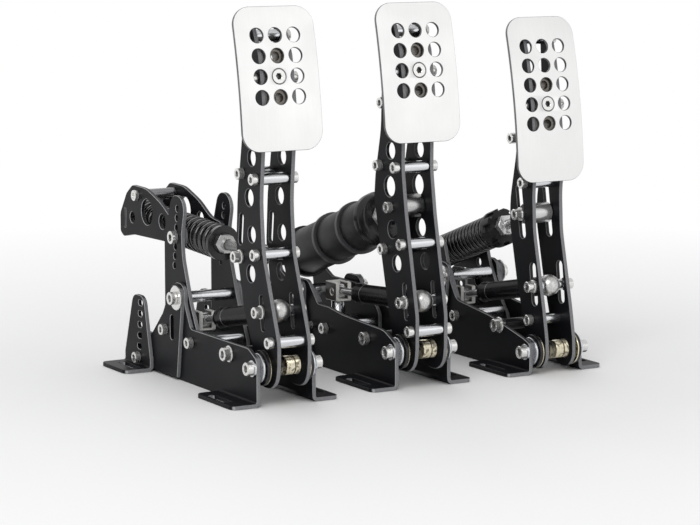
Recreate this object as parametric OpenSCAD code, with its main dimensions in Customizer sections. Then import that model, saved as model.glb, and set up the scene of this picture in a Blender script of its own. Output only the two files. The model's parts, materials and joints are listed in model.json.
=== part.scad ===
// Three racing pedals on separate bent-sheet bases: clutch with a cradled coil
// spring, brake with a stack of rubber blocks, throttle with a coil spring.
// Millimetres. +X is the driver's right, +Y points away from the driver, +Z is up.
// Outline lists are [y, z, corner radius] seen from the side of one pedal, whose
// own zero is on the floor below its pivot.

/* [Set] */
// distance between pedal middles
pedal_pitch = 121; // [100:1:160]
// how far the clutch stands in front of the other two
clutch_step = 7; // [0:1:30]

/* [Base] */
// clear width between the two side walls
wall_gap = 43; // [40:0.5:50]
// thickness of all black sheet
sheet_t = 3; // [2:0.5:4]
// height of the clutch and brake pivots
pivot_z = 28.4; // [24:0.2:34]
// height of the throttle pivot
throttle_pivot_z = 17.7; // [16.5:0.1:24]
// front edge of the walls from the pivot
base_front = 5.5; // [5:0.5:12]
// rear edge of the walls from the pivot
base_rear = 190; // [188:1:200]
// height of the clutch wall
wall_h = 42; // [40:0.5:46]
// reach of the front foot from the wall
foot_reach = 20; // [18:0.5:26]
// length of the front foot
foot_len = 60; // [54:1:70]
// reach of the rear foot from its bracket
bracket_reach = 21.5; // [16:0.5:26]
// length of the rear foot
bracket_len = 46; // [44:1:56]
// middle of the rear foot slot from the front end of its foot
rear_slot_in = 21; // [20:0.5:24]
// lowest bracket bolt from the front end of its foot
rear_bolt_in = 20; // [18:0.5:22]
// inner radius of the sheet bends
bend_r = 1.5; // [1:0.5:2]
// foot slot line from the middle of a pedal
slot_line = 38.5; // [37:0.5:39]
// width of the foot slots
slot_w = 6.6; // [5:0.1:7]
// length of the foot slots between their end centres
slot_run = 24; // [16:1:26]
// middle of the front foot slot
slot_front_y = 26; // [24:1:28]
// distance from front to rear foot slot
slot_pitch = 156; // [153:1:159]
// width of the short slots in the bracket
bracket_hole_d = 4.6; // [3:0.1:5]
// length of the short slots between their end centres
bracket_hole_run = 3.4; // [2:0.2:4]
// pitch of the short slots in the bracket
bracket_hole_pitch = 8.7; // [7:0.1:9]

/* [Fasteners] */
// base bolt size
base_bolt_d = 6; // [5:0.5:6.5]
// base bolt head size
base_head_d = 10; // [9:0.5:11]
// base bolt head height
base_head_h = 5; // [4:0.5:6]
// arm bolt size
arm_bolt_d = 5; // [4:0.5:5]
// arm bolt head size
arm_head_d = 8.5; // [8:0.5:9]
// arm bolt head height
arm_head_h = 5; // [4:0.5:6]
// outer size of all spacer tubes
tube_d = 9; // [8.5:0.5:10]
// big washer of the upper base bolt
big_washer_d = 19; // [16:1:20]
// small washer of the stop bolt
stop_washer_d = 12.5; // [11:0.5:14]
// washer thickness
washer_t = 1.5; // [1:0.1:2]
// washer under the adjusting bolts of the arms
arm_washer_d = 10.4; // [10:0.2:11.4]
// thickness of the washer under the adjusting bolts
arm_washer_t = 2; // [1:0.1:2.2]
// clearance around a clamped bolt
bolt_clear = 0.15; // [0.1:0.05:0.2]
// radial running clearance
run_fit = 0.05; // [0.02:0.01:0.08]
// side clearance of turning pieces
side_gap = 0.3; // [0.2:0.05:0.4]
// seam left between two pieces that lie face to face
seam = 0.04; // [0.02:0.01:0.06]

/* [Arms] */
// clear width between the two arm plates
arm_gap = 22; // [20:0.5:23]
// outer size of the bronze bush
bush_d = 14; // [12:0.5:15]
// flange of the bronze bush
bush_flange_d = 20; // [18:0.5:22]
// flange thickness of the bush
bush_flange_t = 1.5; // [1:0.1:2]
// big ring between wall and arm
ring_d = 26; // [24:0.5:28]
// share of the ring stack that is the big ring
ring_share = 0.6; // [0.4:0.05:0.7]
// width of the adjusting slots of clutch and brake
adjust_slot_w = 6; // [5.4:0.1:6.6]
// width of the adjusting slots of the throttle
throttle_slot_w = 8; // [6:0.1:8.2]

/* [Foot plates] */
// plate thickness
plate_t = 2.5; // [2:0.5:3]
// bend radius of the plates
plate_bend_r = 484; // [380:1:700]
// lean of the plates at the hole grid
plate_tilt = 11.1; // [8:0.1:14]
// width of the clutch and brake plates
plate_w = 65.5; // [58:0.5:80]
// length of the clutch and brake plates
plate_len = 105; // [95:1:112]
// width of the throttle plate
throttle_plate_w = 61; // [58:0.5:70]
// length of the throttle plate
throttle_plate_len = 128; // [122:1:134]
// corner radius of the plates
plate_corner_r = 14; // [8:0.5:18]
// grid hole size
grid_d = 11; // [8:0.5:12]
// grid hole pitch
grid_pitch = 15; // [14:0.5:16]
// plate screw size
plate_screw_d = 6; // [5:0.5:6]
// depth of the carrier block behind the plate
carrier_depth = 12; // [11:0.5:14]
// height of the carrier block
carrier_h = 15; // [13:0.5:16]

/* [Dampers] */
// damper tube size
damper_d = 15; // [13:0.5:16]
// cap ring size at the end of the tube
damper_cap_d = 16.4; // [16:0.2:17.5]
// damper tube end from the front eye
damper_tube_len = 93; // [85:1:98]
// damper rod size
damper_rod_d = 6; // [5:0.2:6.2]
// round front eye size
damper_ball_d = 17; // [16:0.5:18]
// width of the round front eye
damper_ball_w = 14; // [12:0.5:15]
// rear eye size
damper_eye_d = 11; // [10:0.5:11.5]
// rear eye width
damper_eye_w = 7; // [6.6:0.2:8]
// clearance of the rod in the tube, hidden behind the cap
damper_clear = 1; // [0.8:0.1:1.2]

/* [Load cells] */
// cell width
cell_w = 14; // [12:0.5:16]
// cell length
cell_len = 12; // [12:0.5:13]
// cell height
cell_h = 15; // [14:0.5:16]
// brake cell length
brake_cell_len = 18; // [16:0.5:18.5]
// brake standoff size
standoff_d = 11; // [9:0.5:12]
// brake standoff height
standoff_h = 13; // [12:0.5:14]

/* [Clutch strut] */
// clear width between the cradle plates
cradle_gap = 30; // [29:0.5:30.5]
// rear edge of the cradle from the pivot
cradle_rear = 240; // [238:1:244]
// outer size of the coil springs
spring_d = 27; // [24:0.5:28]
// clutch spring wire
clutch_wire_d = 4; // [3:0.2:4.6]
// turns of the clutch spring
clutch_turns = 16; // [12:1:18]
// strut rod size
strut_rod_d = 8; // [7:0.5:9]
// clearance of the rod in its guide
guide_clear = 1.5; // [1.4:0.1:2]
// distance from the strut's front pivot to the cup face
clutch_cup_s = 59; // [56:1:62]
// cup disc thickness
cup_t = 4; // [3:0.5:5]
// spring seat from the strut's front pivot
clutch_seat_s = 191; // [189:1:193]
// height of the seat tabs
seat_tab_h = 15.8; // [12:0.2:18]
// eye of the strut rod
strut_eye_d = 16; // [14:0.5:18]
// width of the eye of the strut rod
strut_eye_w = 13; // [11:0.5:14]

/* [Brake strut] */
// rubber block size
rubber_d = 37.6; // [36:0.2:40]
// disc size
disc_d = 42; // [40.4:0.2:42]
// disc thickness
disc_t = 3.5; // [3:0.5:4]
// front barrel size
brake_barrel_d = 18; // [16:0.5:19]
// rear face of the cup from the front pivot
brake_cup_s = 47; // [45:1:49]
// front disc from the front pivot
brake_disc1_s = 74; // [72:1:78]
// rear disc from the front pivot
brake_disc2_s = 113; // [110:1:116]
// rear plate from the front pivot
brake_plate_s = 163; // [161:1:165]
// brake rod size
brake_rod_d = 10; // [8:0.5:11]
// guide tube wall
guide_wall = 2.5; // [2:0.25:3]
// clearance of the discs on the guide tube
disc_clear = 0.6; // [0.4:0.1:1]

/* [Throttle strut] */
// throttle spring wire
throttle_wire_d = 2.6; // [2:0.2:3.4]
// turns of the throttle spring
throttle_turns = 15; // [12:1:16]
// front barrel size
throttle_barrel_d = 16; // [14:0.5:17]
// collar size
collar_d = 30; // [29:0.5:32]
// rear face of the collar from the front pivot
collar_s = 60; // [58:1:62]
// collar length
collar_len = 12; // [10:0.5:14]
// rear seat from the front pivot
throttle_seat_s = 143; // [141:1:145]

/* [Hidden] */

$fn = 48;

BLACK = [0.09, 0.09, 0.1];
STEEL = [0.75, 0.76, 0.78];
ZINC = [0.66, 0.67, 0.7];
BRONZE = [0.78, 0.6, 0.28];
WHITE = [0.88, 0.88, 0.86];
RUBBER = [0.05, 0.05, 0.055];

// faces of the sheet layers, counted from the middle of a pedal
arm_in = arm_gap / 2;
arm_out = arm_in + sheet_t;
wall_in = wall_gap / 2;
wall_out = wall_in + sheet_t;
tower_in = wall_in - sheet_t;
support_out = wall_out + sheet_t;
bracket_out = support_out + sheet_t;
cradle_in = cradle_gap / 2;
cradle_out = cradle_in + sheet_t;

// the clutch arm's foremost stretch is a straight edge at this distance
arm_front = 18;
set_shift = clutch_step - (cradle_rear - arm_front) / 2;
clutch_at = [-pedal_pitch, set_shift - clutch_step, 0];
brake_at = [0, set_shift, 0];
throttle_at = [pedal_pitch, set_shift, 0];

// cross bolts of the bases; the ones with a third value are the smaller size
stop_bolt = [37, 33.5];
front_bolt = [100, 32, arm_bolt_d];
cell_bolt = [138.5, 37, arm_bolt_d];
clutch_top_bolt = [119, 64];
throttle_top_bolt = [119, 62];
brake_top_bolt = [139.5, 56.5];
brake_cell_bolt = [124, 31, arm_bolt_d];
bracket_front = slot_front_y + slot_pitch - rear_slot_in;
// the head just clears the bend of the foot
rear_bolt = [bracket_front + rear_bolt_in, sheet_t + bend_r + arm_head_d / 2 + seam, arm_bolt_d];
function bolt_hole(b) = (len(b) > 2 ? b[2] : base_bolt_d) / 2 + bolt_clear;
bar_w = 10;
bar_h = 10;

// strut and damper pivots
clutch_a = [38.5, pivot_z + 76.6];
clutch_t = [132.2, 108.8];
brake_a = [19.4, pivot_z + 106.9];
brake_t = [192, 76];
throttle_a = [24.4, throttle_pivot_z + 104.3];
throttle_t = [172, 70.6];
clutch_d = [6, pivot_z + 39.6];
brake_d = [-2.5, pivot_z + 37.3];
throttle_d = [5.5, throttle_pivot_z + 49.6];
cell_pin = [cell_bolt.x - bar_w / 2 - cell_len / 2, 43.5];
brake_cell_pin = [brake_cell_bolt.x - 2, brake_cell_bolt.y + bar_h / 2 + standoff_h + cell_h / 2];
rear_barrel_d = 14;

// spacer bolts of the arms, [y, height above the pivot]
clutch_arm_pts = [[13.4, 136], [35.1, 138.3], [11.7, 80.8], [-10.2, 19.4], [24.5, 239]];
brake_arm_pts = [[9.1, 137.8], [34.9, 137.4], [0, 80.8], [27.6, 74.3], [-12.2, 16.5],
    [28.8, 185.2], [22.5, 239]];
throttle_arm_pts = [[34.1, 162.8], [18.8, 129.2], [8.6, 23], [30, 240]];

// middle of each hole grid on the front face of the plate
clutch_grid = [5.3, pivot_z + 218.2];
brake_grid = [3.1, pivot_z + 218.2];
throttle_grid = [11.8, throttle_pivot_z + 205.5];
grid_cols = 3;
plate_rows = 4;
throttle_rows = 5;
// the plate reaches further below the grid than above it
plate_drop = 8.8;
throttle_plate_drop = 10.8;
// the screw takes the middle hole of this row, counted from the top
plate_screw_row = 3;
throttle_screw_row = 4;
clutch_screw_u = ((plate_rows + 1) / 2 - plate_screw_row) * grid_pitch;
throttle_screw_u = ((throttle_rows + 1) / 2 - throttle_screw_row) * grid_pitch;

function unit(v) = v / norm(v);
function flat(p) = [p[0], p[1]];
function fillet(a, b, c, r, n) =
    let (u = unit(a - b), v = unit(c - b), w = acos(u * v), m = unit(u + v),
         k = b + m * r / sin(w / 2), p = b + u * r / tan(w / 2), q = b + v * r / tan(w / 2),
         s = atan2(p.y - k.y, p.x - k.x), e = atan2(q.y - k.y, q.x - k.x),
         turn = (e - s + 540) % 360 - 180)
    [for (i = [0:n]) k + r * [cos(s + turn * i / n), sin(s + turn * i / n)]];
// a corner gets one step for about every 15 degrees of turn
function steps(a, b, c) = max(2, ceil((180 - acos(unit(a - b) * unit(c - b))) / 15));
function outline(p) =
    [for (i = [0:len(p) - 1])
        let (a = flat(p[(i + len(p) - 1) % len(p)]), b = flat(p[i]), c = flat(p[(i + 1) % len(p)]))
        each p[i][2] > 0 ? fillet(a, b, c, p[i][2], steps(a, b, c)) : [b]];
function lifted(p, z) = [for (q = p) [q[0], q[1] + z, q[2]]];

// a point on the plate's arc, u up along it from the grid's middle, d behind its front
function plate_centre(grid) = grid + plate_bend_r * [cos(plate_tilt), -sin(plate_tilt)];
function plate_turn(u) = plate_tilt + u / plate_bend_r * 180 / PI;
function plate_pt(grid, u, d) =
    plate_centre(grid) + (plate_bend_r - d) * [-cos(plate_turn(u)), sin(plate_turn(u))];
// the stretch of an arm's front edge that the plate lies on
function plate_edge(grid, top, bottom) =
    [for (i = [0:6])
        let (p = plate_pt(grid, top + (bottom - top) * i / 6, plate_t)) [p.x, p.y, 0]];

module sheet(p, x, t) {
    translate([x, 0, 0]) rotate([90, 0, 90]) linear_extrude(t) polygon(outline(p));
}
module rod_x(p, r, x0, x1) {
    translate([x0, p.x, p.y]) rotate([0, 90, 0]) cylinder(h = x1 - x0, r = r);
}
// a bar with round ends between two points, as deep as the X stretch
module slot_x(p, q, w, x0, x1) {
    end_r = 0.49 * w;
    reach = unit(q - p) * w / 2;
    side = [-reach.y, reach.x];
    sheet([for (c = [p - reach + side, p - reach - side, q + reach - side, q + reach + side])
        [c.x, c.y, end_r]], x0, x1 - x0);
}
module rod_y(r, s0, s1) {
    translate([0, s0, 0]) rotate([-90, 0, 0]) cylinder(h = s1 - s0, r = r);
}
module cone_y(r0, r1, s0, s1) {
    translate([0, s0, 0]) rotate([-90, 0, 0]) cylinder(h = s1 - s0, r1 = r0, r2 = r1);
}
module hex_y(across, s0, s1) {
    translate([0, s0, 0]) rotate([-90, 0, 0])
        cylinder(h = s1 - s0, d = across / cos(30), $fn = 6);
}
// places what is drawn along +Y from zero so that it runs from a towards t
module along(a, t) {
    translate([0, a.x, a.y]) rotate([atan2(t.y - a.y, t.x - a.x), 0, 0]) children();
}
module tube_x(p, outer, inner, x0, x1) {
    difference() {
        rod_x(p, outer, x0, x1);
        rod_x(p, inner, x0 - 1, x1 + 1);
    }
}
module both_sides() {
    children();
    mirror([1, 0, 0]) children();
}
// cap head with its hex socket, standing on the face at x
module head_x(p, d, h, socket, x) {
    difference() {
        rod_x(p, d / 2, x, x + h);
        translate([x + h / 2, p.x, p.y]) rotate([0, 90, 0])
            cylinder(h = h, d = socket / cos(30), $fn = 6);
    }
}
// a bolt with a cap head at each end; face is where the heads stand
module bolt_x(p, d, head_d, head_h, socket, face) {
    rod_x(p, d / 2, -face, face);
    both_sides() head_x(p, head_d, head_h, socket, face);
}
module base_bolt(p, face) {
    if (len(p) > 2) arm_bolt(p, face);
    else bolt_x(p, base_bolt_d, base_head_d, base_head_h, base_bolt_d * 0.83, face);
}
module arm_bolt(p, face) {
    bolt_x(p, arm_bolt_d, arm_head_d, arm_head_h, arm_bolt_d * 0.8, face);
}

// a round wire wound about +Y, straight at both ends, as one tube
coil_sides = 6;
coil_rings = 8;
function coil_at(r, wire, len, turns, i) =
    let (n = turns * coil_rings, a = 360 * i / coil_rings,
         lead = (len - wire) / n)
    [r * cos(a), wire / 2 + lead * i, r * sin(a)];
function coil_path(r, wire, len, turns) =
    let (n = turns * coil_rings, a0 = coil_at(r, wire, len, turns, 0),
         a1 = coil_at(r, wire, len, turns, n))
    concat([a0 - [0, 0, wire]], [for (i = [0:n]) coil_at(r, wire, len, turns, i)],
        [a1 + [0, 0, wire]]);
function tangent(p, i) = unit(p[min(i + 1, len(p) - 1)] - p[max(i - 1, 0)]);
function ring_pt(c, t, wire, k) =
    let (n = unit([c.x, 0, c.z] - t * (t * [c.x, 0, c.z])), b = cross(t, n),
         a = 360 * k / coil_sides)
    c + wire / 2 * (n * cos(a) + b * sin(a));
module coil(r, wire, len, turns) {
    p = coil_path(r, wire, len, turns);
    last = len(p) - 1;
    pts = concat([for (i = [0:last]) for (k = [0:coil_sides - 1])
            ring_pt(p[i], tangent(p, i), wire, k)], [p[0], p[last]]);
    base = (last + 1) * coil_sides;
    sides = [for (i = [0:last - 1]) for (k = [0:coil_sides - 1]) for (h = [0, 1])
        let (a = i * coil_sides + k, b = i * coil_sides + (k + 1) % coil_sides)
        h == 0 ? [a, b, a + coil_sides] : [b, b + coil_sides, a + coil_sides]];
    ends = [for (k = [0:coil_sides - 1]) for (h = [0, 1])
        h == 0 ? [base, (k + 1) % coil_sides, k]
            : [base + 1, base - coil_sides + k, base - coil_sides + (k + 1) % coil_sides]];
    polyhedron(points = pts, faces = concat(sides, ends));
    // least gap between points of neighbouring turns
    gap = min([for (i = [1:last - 1 - coil_rings]) for (j = [coil_rings - 2:coil_rings + 2])
        i + j > last ? wire * 9 : norm(p[i] - p[i + j])]) - wire;
    echo(coil_self_gap = gap);
}

// side outlines of the bases
clutch_wall = [[-base_front, 0, 0], [base_rear, 0, 0], [base_rear, 29, 6], [166, 29, 5],
    [144, 50, 8], [129, 75, 9], [111, 75, 9], [112, 60, 10], [102, wall_h, 6],
    [8, wall_h, 10], [-base_front, 35, 7]];
brake_wall = [[-base_front, 0, 0], [base_rear, 0, 0], [base_rear, 29, 6], [170, 29, 5],
    [150, 66, 9], [130, 66, 8], [114, 49, 6], [97, 49, 8], [75, 46, 40], [12, 43.3, 20],
    [-base_front, 35, 7]];
throttle_wall = [[-base_front, 0, 0], [base_rear, 0, 0], [base_rear, 29, 6], [166, 29, 5],
    [144, 50, 8], [129, 73, 9], [111, 73, 9], [112, 60, 10], [101, 44.4, 10], [94, 43.8, 6],
    [51, 38.6, 60], [4, 27.6, 10], [-base_front, 24.2, 6]];
clutch_tower = [[92, 10, 4], [150, 10, 4], [152, 56, 10], [152, 106, 25], [139, 141, 11],
    [115, 141, 11], [122.5, 112, 30], [121, 94, 30], [108, 60, 40], [98, wall_h, 10], [92, 30, 6]];
brake_tower = [[92, 10, 4], [150, 10, 4], [166, 28, 5], [196, 40, 6], [202, 70, 9],
    [198, 86, 7.4], [185, 86, 7.4], [183, 68, 8], [168, 61, 10], [128, 61, 6], [116, 49, 6],
    [97, 47, 6], [92, 40, 6]];
throttle_tower = [[92, 10, 4], [150, 10, 4], [153, 45, 30], [151, 61, 4], [176, 59, 9],
    [183, 72, 9], [170, 82.5, 9], [131, 92, 5], [125, 86, 6], [119.5, 70, 40], [102, 42, 20],
    [92, 30, 6]];
support_rear = base_rear - 2;
function support_outline(top) = [[120, 1.5, 2], [support_rear, 1.5, 2], [support_rear, 28, 6],
    [166, 28, 5], [max(144, top.x + 12), 49, 6], [top.x + 9.5, top.y + 9, 9], [top.x - 8, top.y + 9, 8],
    [top.x - 7, top.y - 8, 3]];
bracket_plate = [[bracket_front, 0, 0], [bracket_front + bracket_len, 0, 0],
    [bracket_front + bracket_len, 10, 4], [bracket_front + 30, 58, 8.5],
    [bracket_front + 11, 58, 8.5], [bracket_front, 10, 4]];
tower_holes = [for (i = [-3:3]) clutch_t + i * [0.9, -7.4]];
tower_hole_d = 5.2;

// one bent wall on the right side, with its front foot turned outwards
module wall(p, bolts, pivot) {
    difference() {
        union() {
            difference() {
                sheet(p, wall_in, sheet_t);
                translate([wall_in - 1, -base_front - 1, -1])
                    cube([sheet_t + 2, foot_len + 1, sheet_t + bend_r + 1]);
            }
            translate([0, -base_front, 0]) foot_strip(wall_in, foot_reach, foot_len);
        }
        for (b = bolts) rod_x(b, bolt_hole(b), 0, wall_out + 1);
        rod_x(pivot, base_bolt_d / 2 + bolt_clear, 0, wall_out + 1);
        foot_slot(slot_front_y);
    }
}
// the bent strip that joins an upright sheet to its foot, along +Y from zero
module foot_strip(face, reach, length) {
    turn = bend_r + sheet_t;
    corner = 6;
    translate([face + turn, 0, turn]) rotate([-90, 0, 0]) difference() {
        cylinder(h = length, r = turn);
        translate([0, 0, -1]) cylinder(h = length + 2, r = bend_r);
        translate([0, -turn - 1, -1]) cube([turn + 1, 2 * turn + 2, length + 2]);
        translate([-turn - 1, -turn - 1, -1]) cube([turn + 2, turn + 1, length + 2]);
    }
    difference() {
        translate([face + turn, 0, 0])
            cube([reach - bend_r, length, sheet_t]);
        for (end = [0, 1]) translate([face + sheet_t + reach, end * length, -1])
            mirror([0, end, 0]) corner_cut(corner, sheet_t + 2);
    }
}
// what rounds off the corner at zero of a plate that lies towards -X and +Y
module corner_cut(r, h) {
    difference() {
        translate([-r, -1, 0]) cube([r + 1, r + 1, h]);
        translate([-r, r, -1]) cylinder(h = h + 2, r = r);
    }
}
module foot_slot(y) {
    for (end = [-1, 1]) translate([slot_line, y + end * slot_run / 2, -1])
        cylinder(h = sheet_t + 2, d = slot_w);
    translate([slot_line - slot_w / 2, y - slot_run / 2, -1])
        cube([slot_w, slot_run, sheet_t + 2]);
}
module tower(p, bolts) {
    difference() {
        sheet(p, tower_in, sheet_t);
        for (b = bolts) rod_x(b, bolt_hole(b), 0, wall_in + 1);
    }
}
support_slot_w = 6.4;
module support(top, bolts) {
    difference() {
        sheet(support_outline(top), wall_out, sheet_t);
        for (b = bolts) rod_x(b, bolt_hole(b), 0, support_out + 1);
        slot_x(top + [9, -30.5], top + [9, -17.5], support_slot_w, wall_out - 1, support_out + 1);
    }
}
module bracket() {
    difference() {
        union() {
            difference() {
                sheet(bracket_plate, support_out, sheet_t);
                translate([support_out - 1, bracket_front - 1, -1])
                    cube([sheet_t + 2, bracket_len + 2, sheet_t + bend_r + 1]);
            }
            translate([0, bracket_front, 0]) foot_strip(support_out, bracket_reach, bracket_len);
        }
        rod_x(rear_bolt, bolt_hole(rear_bolt), support_out - 1, bracket_out + 1);
        for (i = [1:5]) let (mid = flat(rear_bolt) + i * [-0.7, bracket_hole_pitch])
            slot_x(mid - [bracket_hole_run / 2, 0], mid + [bracket_hole_run / 2, 0],
                bracket_hole_d, support_out - 1, bracket_out + 1);
        foot_slot(slot_front_y + slot_pitch);
    }
}

clutch_wall_bolts = [stop_bolt, front_bolt, cell_bolt, clutch_top_bolt, rear_bolt];
brake_wall_bolts = [stop_bolt, front_bolt, brake_cell_bolt, brake_top_bolt, rear_bolt];
throttle_wall_bolts = [stop_bolt, front_bolt, cell_bolt, throttle_top_bolt, rear_bolt];

module clutch_base_left() {
    color(BLACK) translate(clutch_at) mirror([1, 0, 0])
        wall(clutch_wall, clutch_wall_bolts, [0, pivot_z]);
}
module clutch_base_right() {
    color(BLACK) translate(clutch_at) wall(clutch_wall, clutch_wall_bolts, [0, pivot_z]);
}
module brake_base_left() {
    color(BLACK) translate(brake_at) mirror([1, 0, 0])
        wall(brake_wall, brake_wall_bolts, [0, pivot_z]);
}
module brake_base_right() {
    color(BLACK) translate(brake_at) wall(brake_wall, brake_wall_bolts, [0, pivot_z]);
}
module throttle_base_left() {
    color(BLACK) translate(throttle_at) mirror([1, 0, 0])
        wall(throttle_wall, throttle_wall_bolts, [0, throttle_pivot_z]);
}
module throttle_base_right() {
    color(BLACK) translate(throttle_at)
        wall(throttle_wall, throttle_wall_bolts, [0, throttle_pivot_z]);
}
module clutch_towers() {
    color(BLACK) translate(clutch_at) both_sides() difference() {
        tower(clutch_tower, [front_bolt, cell_bolt, clutch_top_bolt, clutch_t]);
        for (i = [0, 1, 2, 4, 5, 6])
            rod_x(tower_holes[i], tower_hole_d / 2, tower_in - 1, wall_in + 1);
    }
}
module brake_towers() {
    color(BLACK) translate(brake_at) both_sides()
        tower(brake_tower, [front_bolt, brake_cell_bolt, brake_top_bolt, brake_t]);
}
module throttle_towers() {
    color(BLACK) translate(throttle_at) both_sides() difference() {
        tower(throttle_tower, [front_bolt, cell_bolt, throttle_top_bolt, throttle_t]);
        rod_x([135, 68], 3.5, tower_in - 1, wall_in + 1);
        rod_x([135, 54], 6.5, tower_in - 1, wall_in + 1);
    }
}
module support_plates() {
    color(BLACK) {
        translate(clutch_at) both_sides()
            support(clutch_top_bolt, [cell_bolt, clutch_top_bolt, rear_bolt]);
        translate(brake_at) both_sides()
            support(brake_top_bolt, [brake_cell_bolt, brake_top_bolt, rear_bolt]);
        translate(throttle_at) both_sides()
            support(throttle_top_bolt, [cell_bolt, throttle_top_bolt, rear_bolt]);
    }
}
module rear_brackets() {
    color(BLACK) for (at = [clutch_at, brake_at, throttle_at]) translate(at) both_sides() bracket();
}

// bolts of one base; the trunnion bolts hold a turning piece between the towers
module bolt_set(cell, top, stop_washer) {
    stop_face = wall_out + (stop_washer ? washer_t : 0);
    base_bolt(stop_bolt, stop_face);
    base_bolt(front_bolt, wall_out);
    base_bolt(cell, support_out);
    base_bolt(top, support_out + washer_t);
    base_bolt(rear_bolt, bracket_out);
    both_sides() {
        tube_x(top, big_washer_d / 2, base_bolt_d / 2 + bolt_clear, support_out,
            support_out + washer_t - seam);
        if (stop_washer) tube_x(stop_bolt, stop_washer_d / 2, base_bolt_d / 2 + bolt_clear,
            wall_out, wall_out + washer_t - seam);
    }
}
module cell_pin_at(p) {
    rod_x(p, arm_bolt_d / 2, -cell_w / 2, cell_w / 2);
}
module base_bolts() {
    color(STEEL) {
        translate(clutch_at) {
            bolt_set(cell_bolt, clutch_top_bolt, true);
            both_sides() {
                rod_x(clutch_t, base_bolt_d / 2, cradle_in, wall_in);
                head_x(clutch_t, base_head_d, base_head_h, base_bolt_d * 0.83, wall_in);
            }
            cell_pin_at(cell_pin);
        }
        translate(brake_at) {
            bolt_set(brake_cell_bolt, brake_top_bolt, false);
            base_bolt(brake_t, wall_in);
            cell_pin_at(brake_cell_pin);
        }
        translate(throttle_at) {
            bolt_set(cell_bolt, throttle_top_bolt, true);
            base_bolt(throttle_t, wall_in);
            cell_pin_at(cell_pin);
        }
    }
}
module spacer_set(cell, top) {
    tube_x(stop_bolt, tube_d / 2, base_bolt_d / 2 + bolt_clear, -wall_in, wall_in);
    tube_x(rear_bolt, tube_d / 2, bolt_hole(rear_bolt), -wall_in, wall_in);
    for (p = [front_bolt, top]) tube_x(p, tube_d / 2, bolt_hole(p), -tower_in, tower_in);
    difference() {
        translate([-tower_in, cell.x - bar_w / 2, cell.y - bar_h / 2])
            cube([2 * tower_in, bar_w, bar_h]);
        rod_x(cell, bolt_hole(cell), -tower_in - 1, tower_in + 1);
    }
}
module base_spacers() {
    color(ZINC) {
        translate(clutch_at) spacer_set(cell_bolt, clutch_top_bolt);
        translate(throttle_at) spacer_set(cell_bolt, throttle_top_bolt);
        translate(brake_at) {
            spacer_set(brake_cell_bolt, brake_top_bolt);
            translate([0, brake_cell_bolt.x, brake_cell_bolt.y + bar_h / 2])
                cylinder(h = standoff_h, d = standoff_d);
        }
    }
}
module pivot_bolts() {
    color(STEEL) {
        translate(clutch_at) base_bolt([0, pivot_z], wall_out + washer_t);
        translate(brake_at) base_bolt([0, pivot_z], wall_out + washer_t);
        translate(throttle_at) base_bolt([0, throttle_pivot_z], wall_out + washer_t);
    }
}
// rings between the bush flange and the wall, and the washer under the head
module ring_set(p) {
    bore = base_bolt_d / 2 + bolt_clear;
    start = arm_out + bush_flange_t + side_gap;
    mid = start + (wall_in - start) * ring_share;
    both_sides() {
        tube_x(p, ring_d / 2, bore, start, mid - seam);
        tube_x(p, ring_d / 2 - 2, bore, mid, wall_in);
        tube_x(p, stop_washer_d / 2, bore, wall_out, wall_out + washer_t);
    }
}
module pivot_washers() {
    color(ZINC) {
        translate(clutch_at) ring_set([0, pivot_z]);
        translate(brake_at) ring_set([0, pivot_z]);
        translate(throttle_at) ring_set([0, throttle_pivot_z]);
    }
}

// a cell block that holds the damper's rear eye in a slot open to the front and top
module cell(pin, y0, length, z0) {
    room = damper_eye_d / 2 + 0.6;
    difference() {
        translate([-cell_w / 2, y0, z0]) cube([cell_w, length, cell_h]);
        translate([-damper_eye_w / 2 - side_gap, y0 - 1, pin.y - room])
            cube([damper_eye_w + 2 * side_gap, pin.x + room - y0 + 1, cell_h]);
        rod_x(pin, arm_bolt_d / 2 + bolt_clear, -cell_w / 2 - 1, cell_w / 2 + 1);
    }
}
module clutch_load_cell() {
    color(WHITE) translate(clutch_at)
        cell(cell_pin, cell_bolt.x - bar_w / 2 - cell_len, cell_len, cell_pin.y - cell_h / 2);
}
module brake_load_cell() {
    color(WHITE) translate(brake_at)
        cell(brake_cell_pin, brake_cell_bolt.x - brake_cell_len / 2, brake_cell_len,
            brake_cell_pin.y - cell_h / 2);
}
module throttle_load_cell() {
    color(WHITE) translate(throttle_at)
        cell(cell_pin, cell_bolt.x - bar_w / 2 - cell_len, cell_len, cell_pin.y - cell_h / 2);
}

// arm outlines, heights above the pivot; the plate's arc closes them at the front
clutch_arm = concat(
    [[-arm_front, 4, 12], [-15, -15.2, 14.5], [15, -15.2, 14.5], [17.5, 4, 20], [34, 38, 25],
        [46, 84, 30], [43.4, 122, 90], [35, 170, 60], [33.5, 246, 7], [21, 250, 6]],
    [for (p = plate_edge(clutch_grid, 8, -38)) [p[0], p[1] - pivot_z, 0]],
    [[4.6, 160, 20], [8.4, 120, 90], [5.2, 83, 50], [-arm_front, 20, 14]]);
brake_arm = concat(
    [[-17.6, 4, 12], [-15, -15.2, 14.5], [15, -15.2, 14.5], [16.5, 8, 20], [27, 45, 30],
        [44.2, 112, 20], [42.5, 130, 40], [34.5, 165, 60], [31.5, 246, 7], [19, 250, 6]],
    [for (p = plate_edge(brake_grid, 8, -38)) [p[0], p[1] - pivot_z, 0]],
    [[3.4, 158, 20], [3.6, 136, 60], [-1.5, 103, 90], [-17.6, 28, 30]]);
throttle_arm = concat(
    [[-11.5, 10, 12], [-13, -14.2, 13], [13.5, -14.2, 13], [15, 6, 20], [30, 54, 40],
        [40, 96, 40], [39.6, 116, 60], [31, 156, 60], [38, 246, 7], [27, 250, 6]],
    [for (p = plate_edge(throttle_grid, 20, -50)) [p[0], p[1] - throttle_pivot_z, 0]],
    [[7.6, 136, 20], [8.6, 120, 60], [7, 92, 60], [-7, 33, 60]]);

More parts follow.
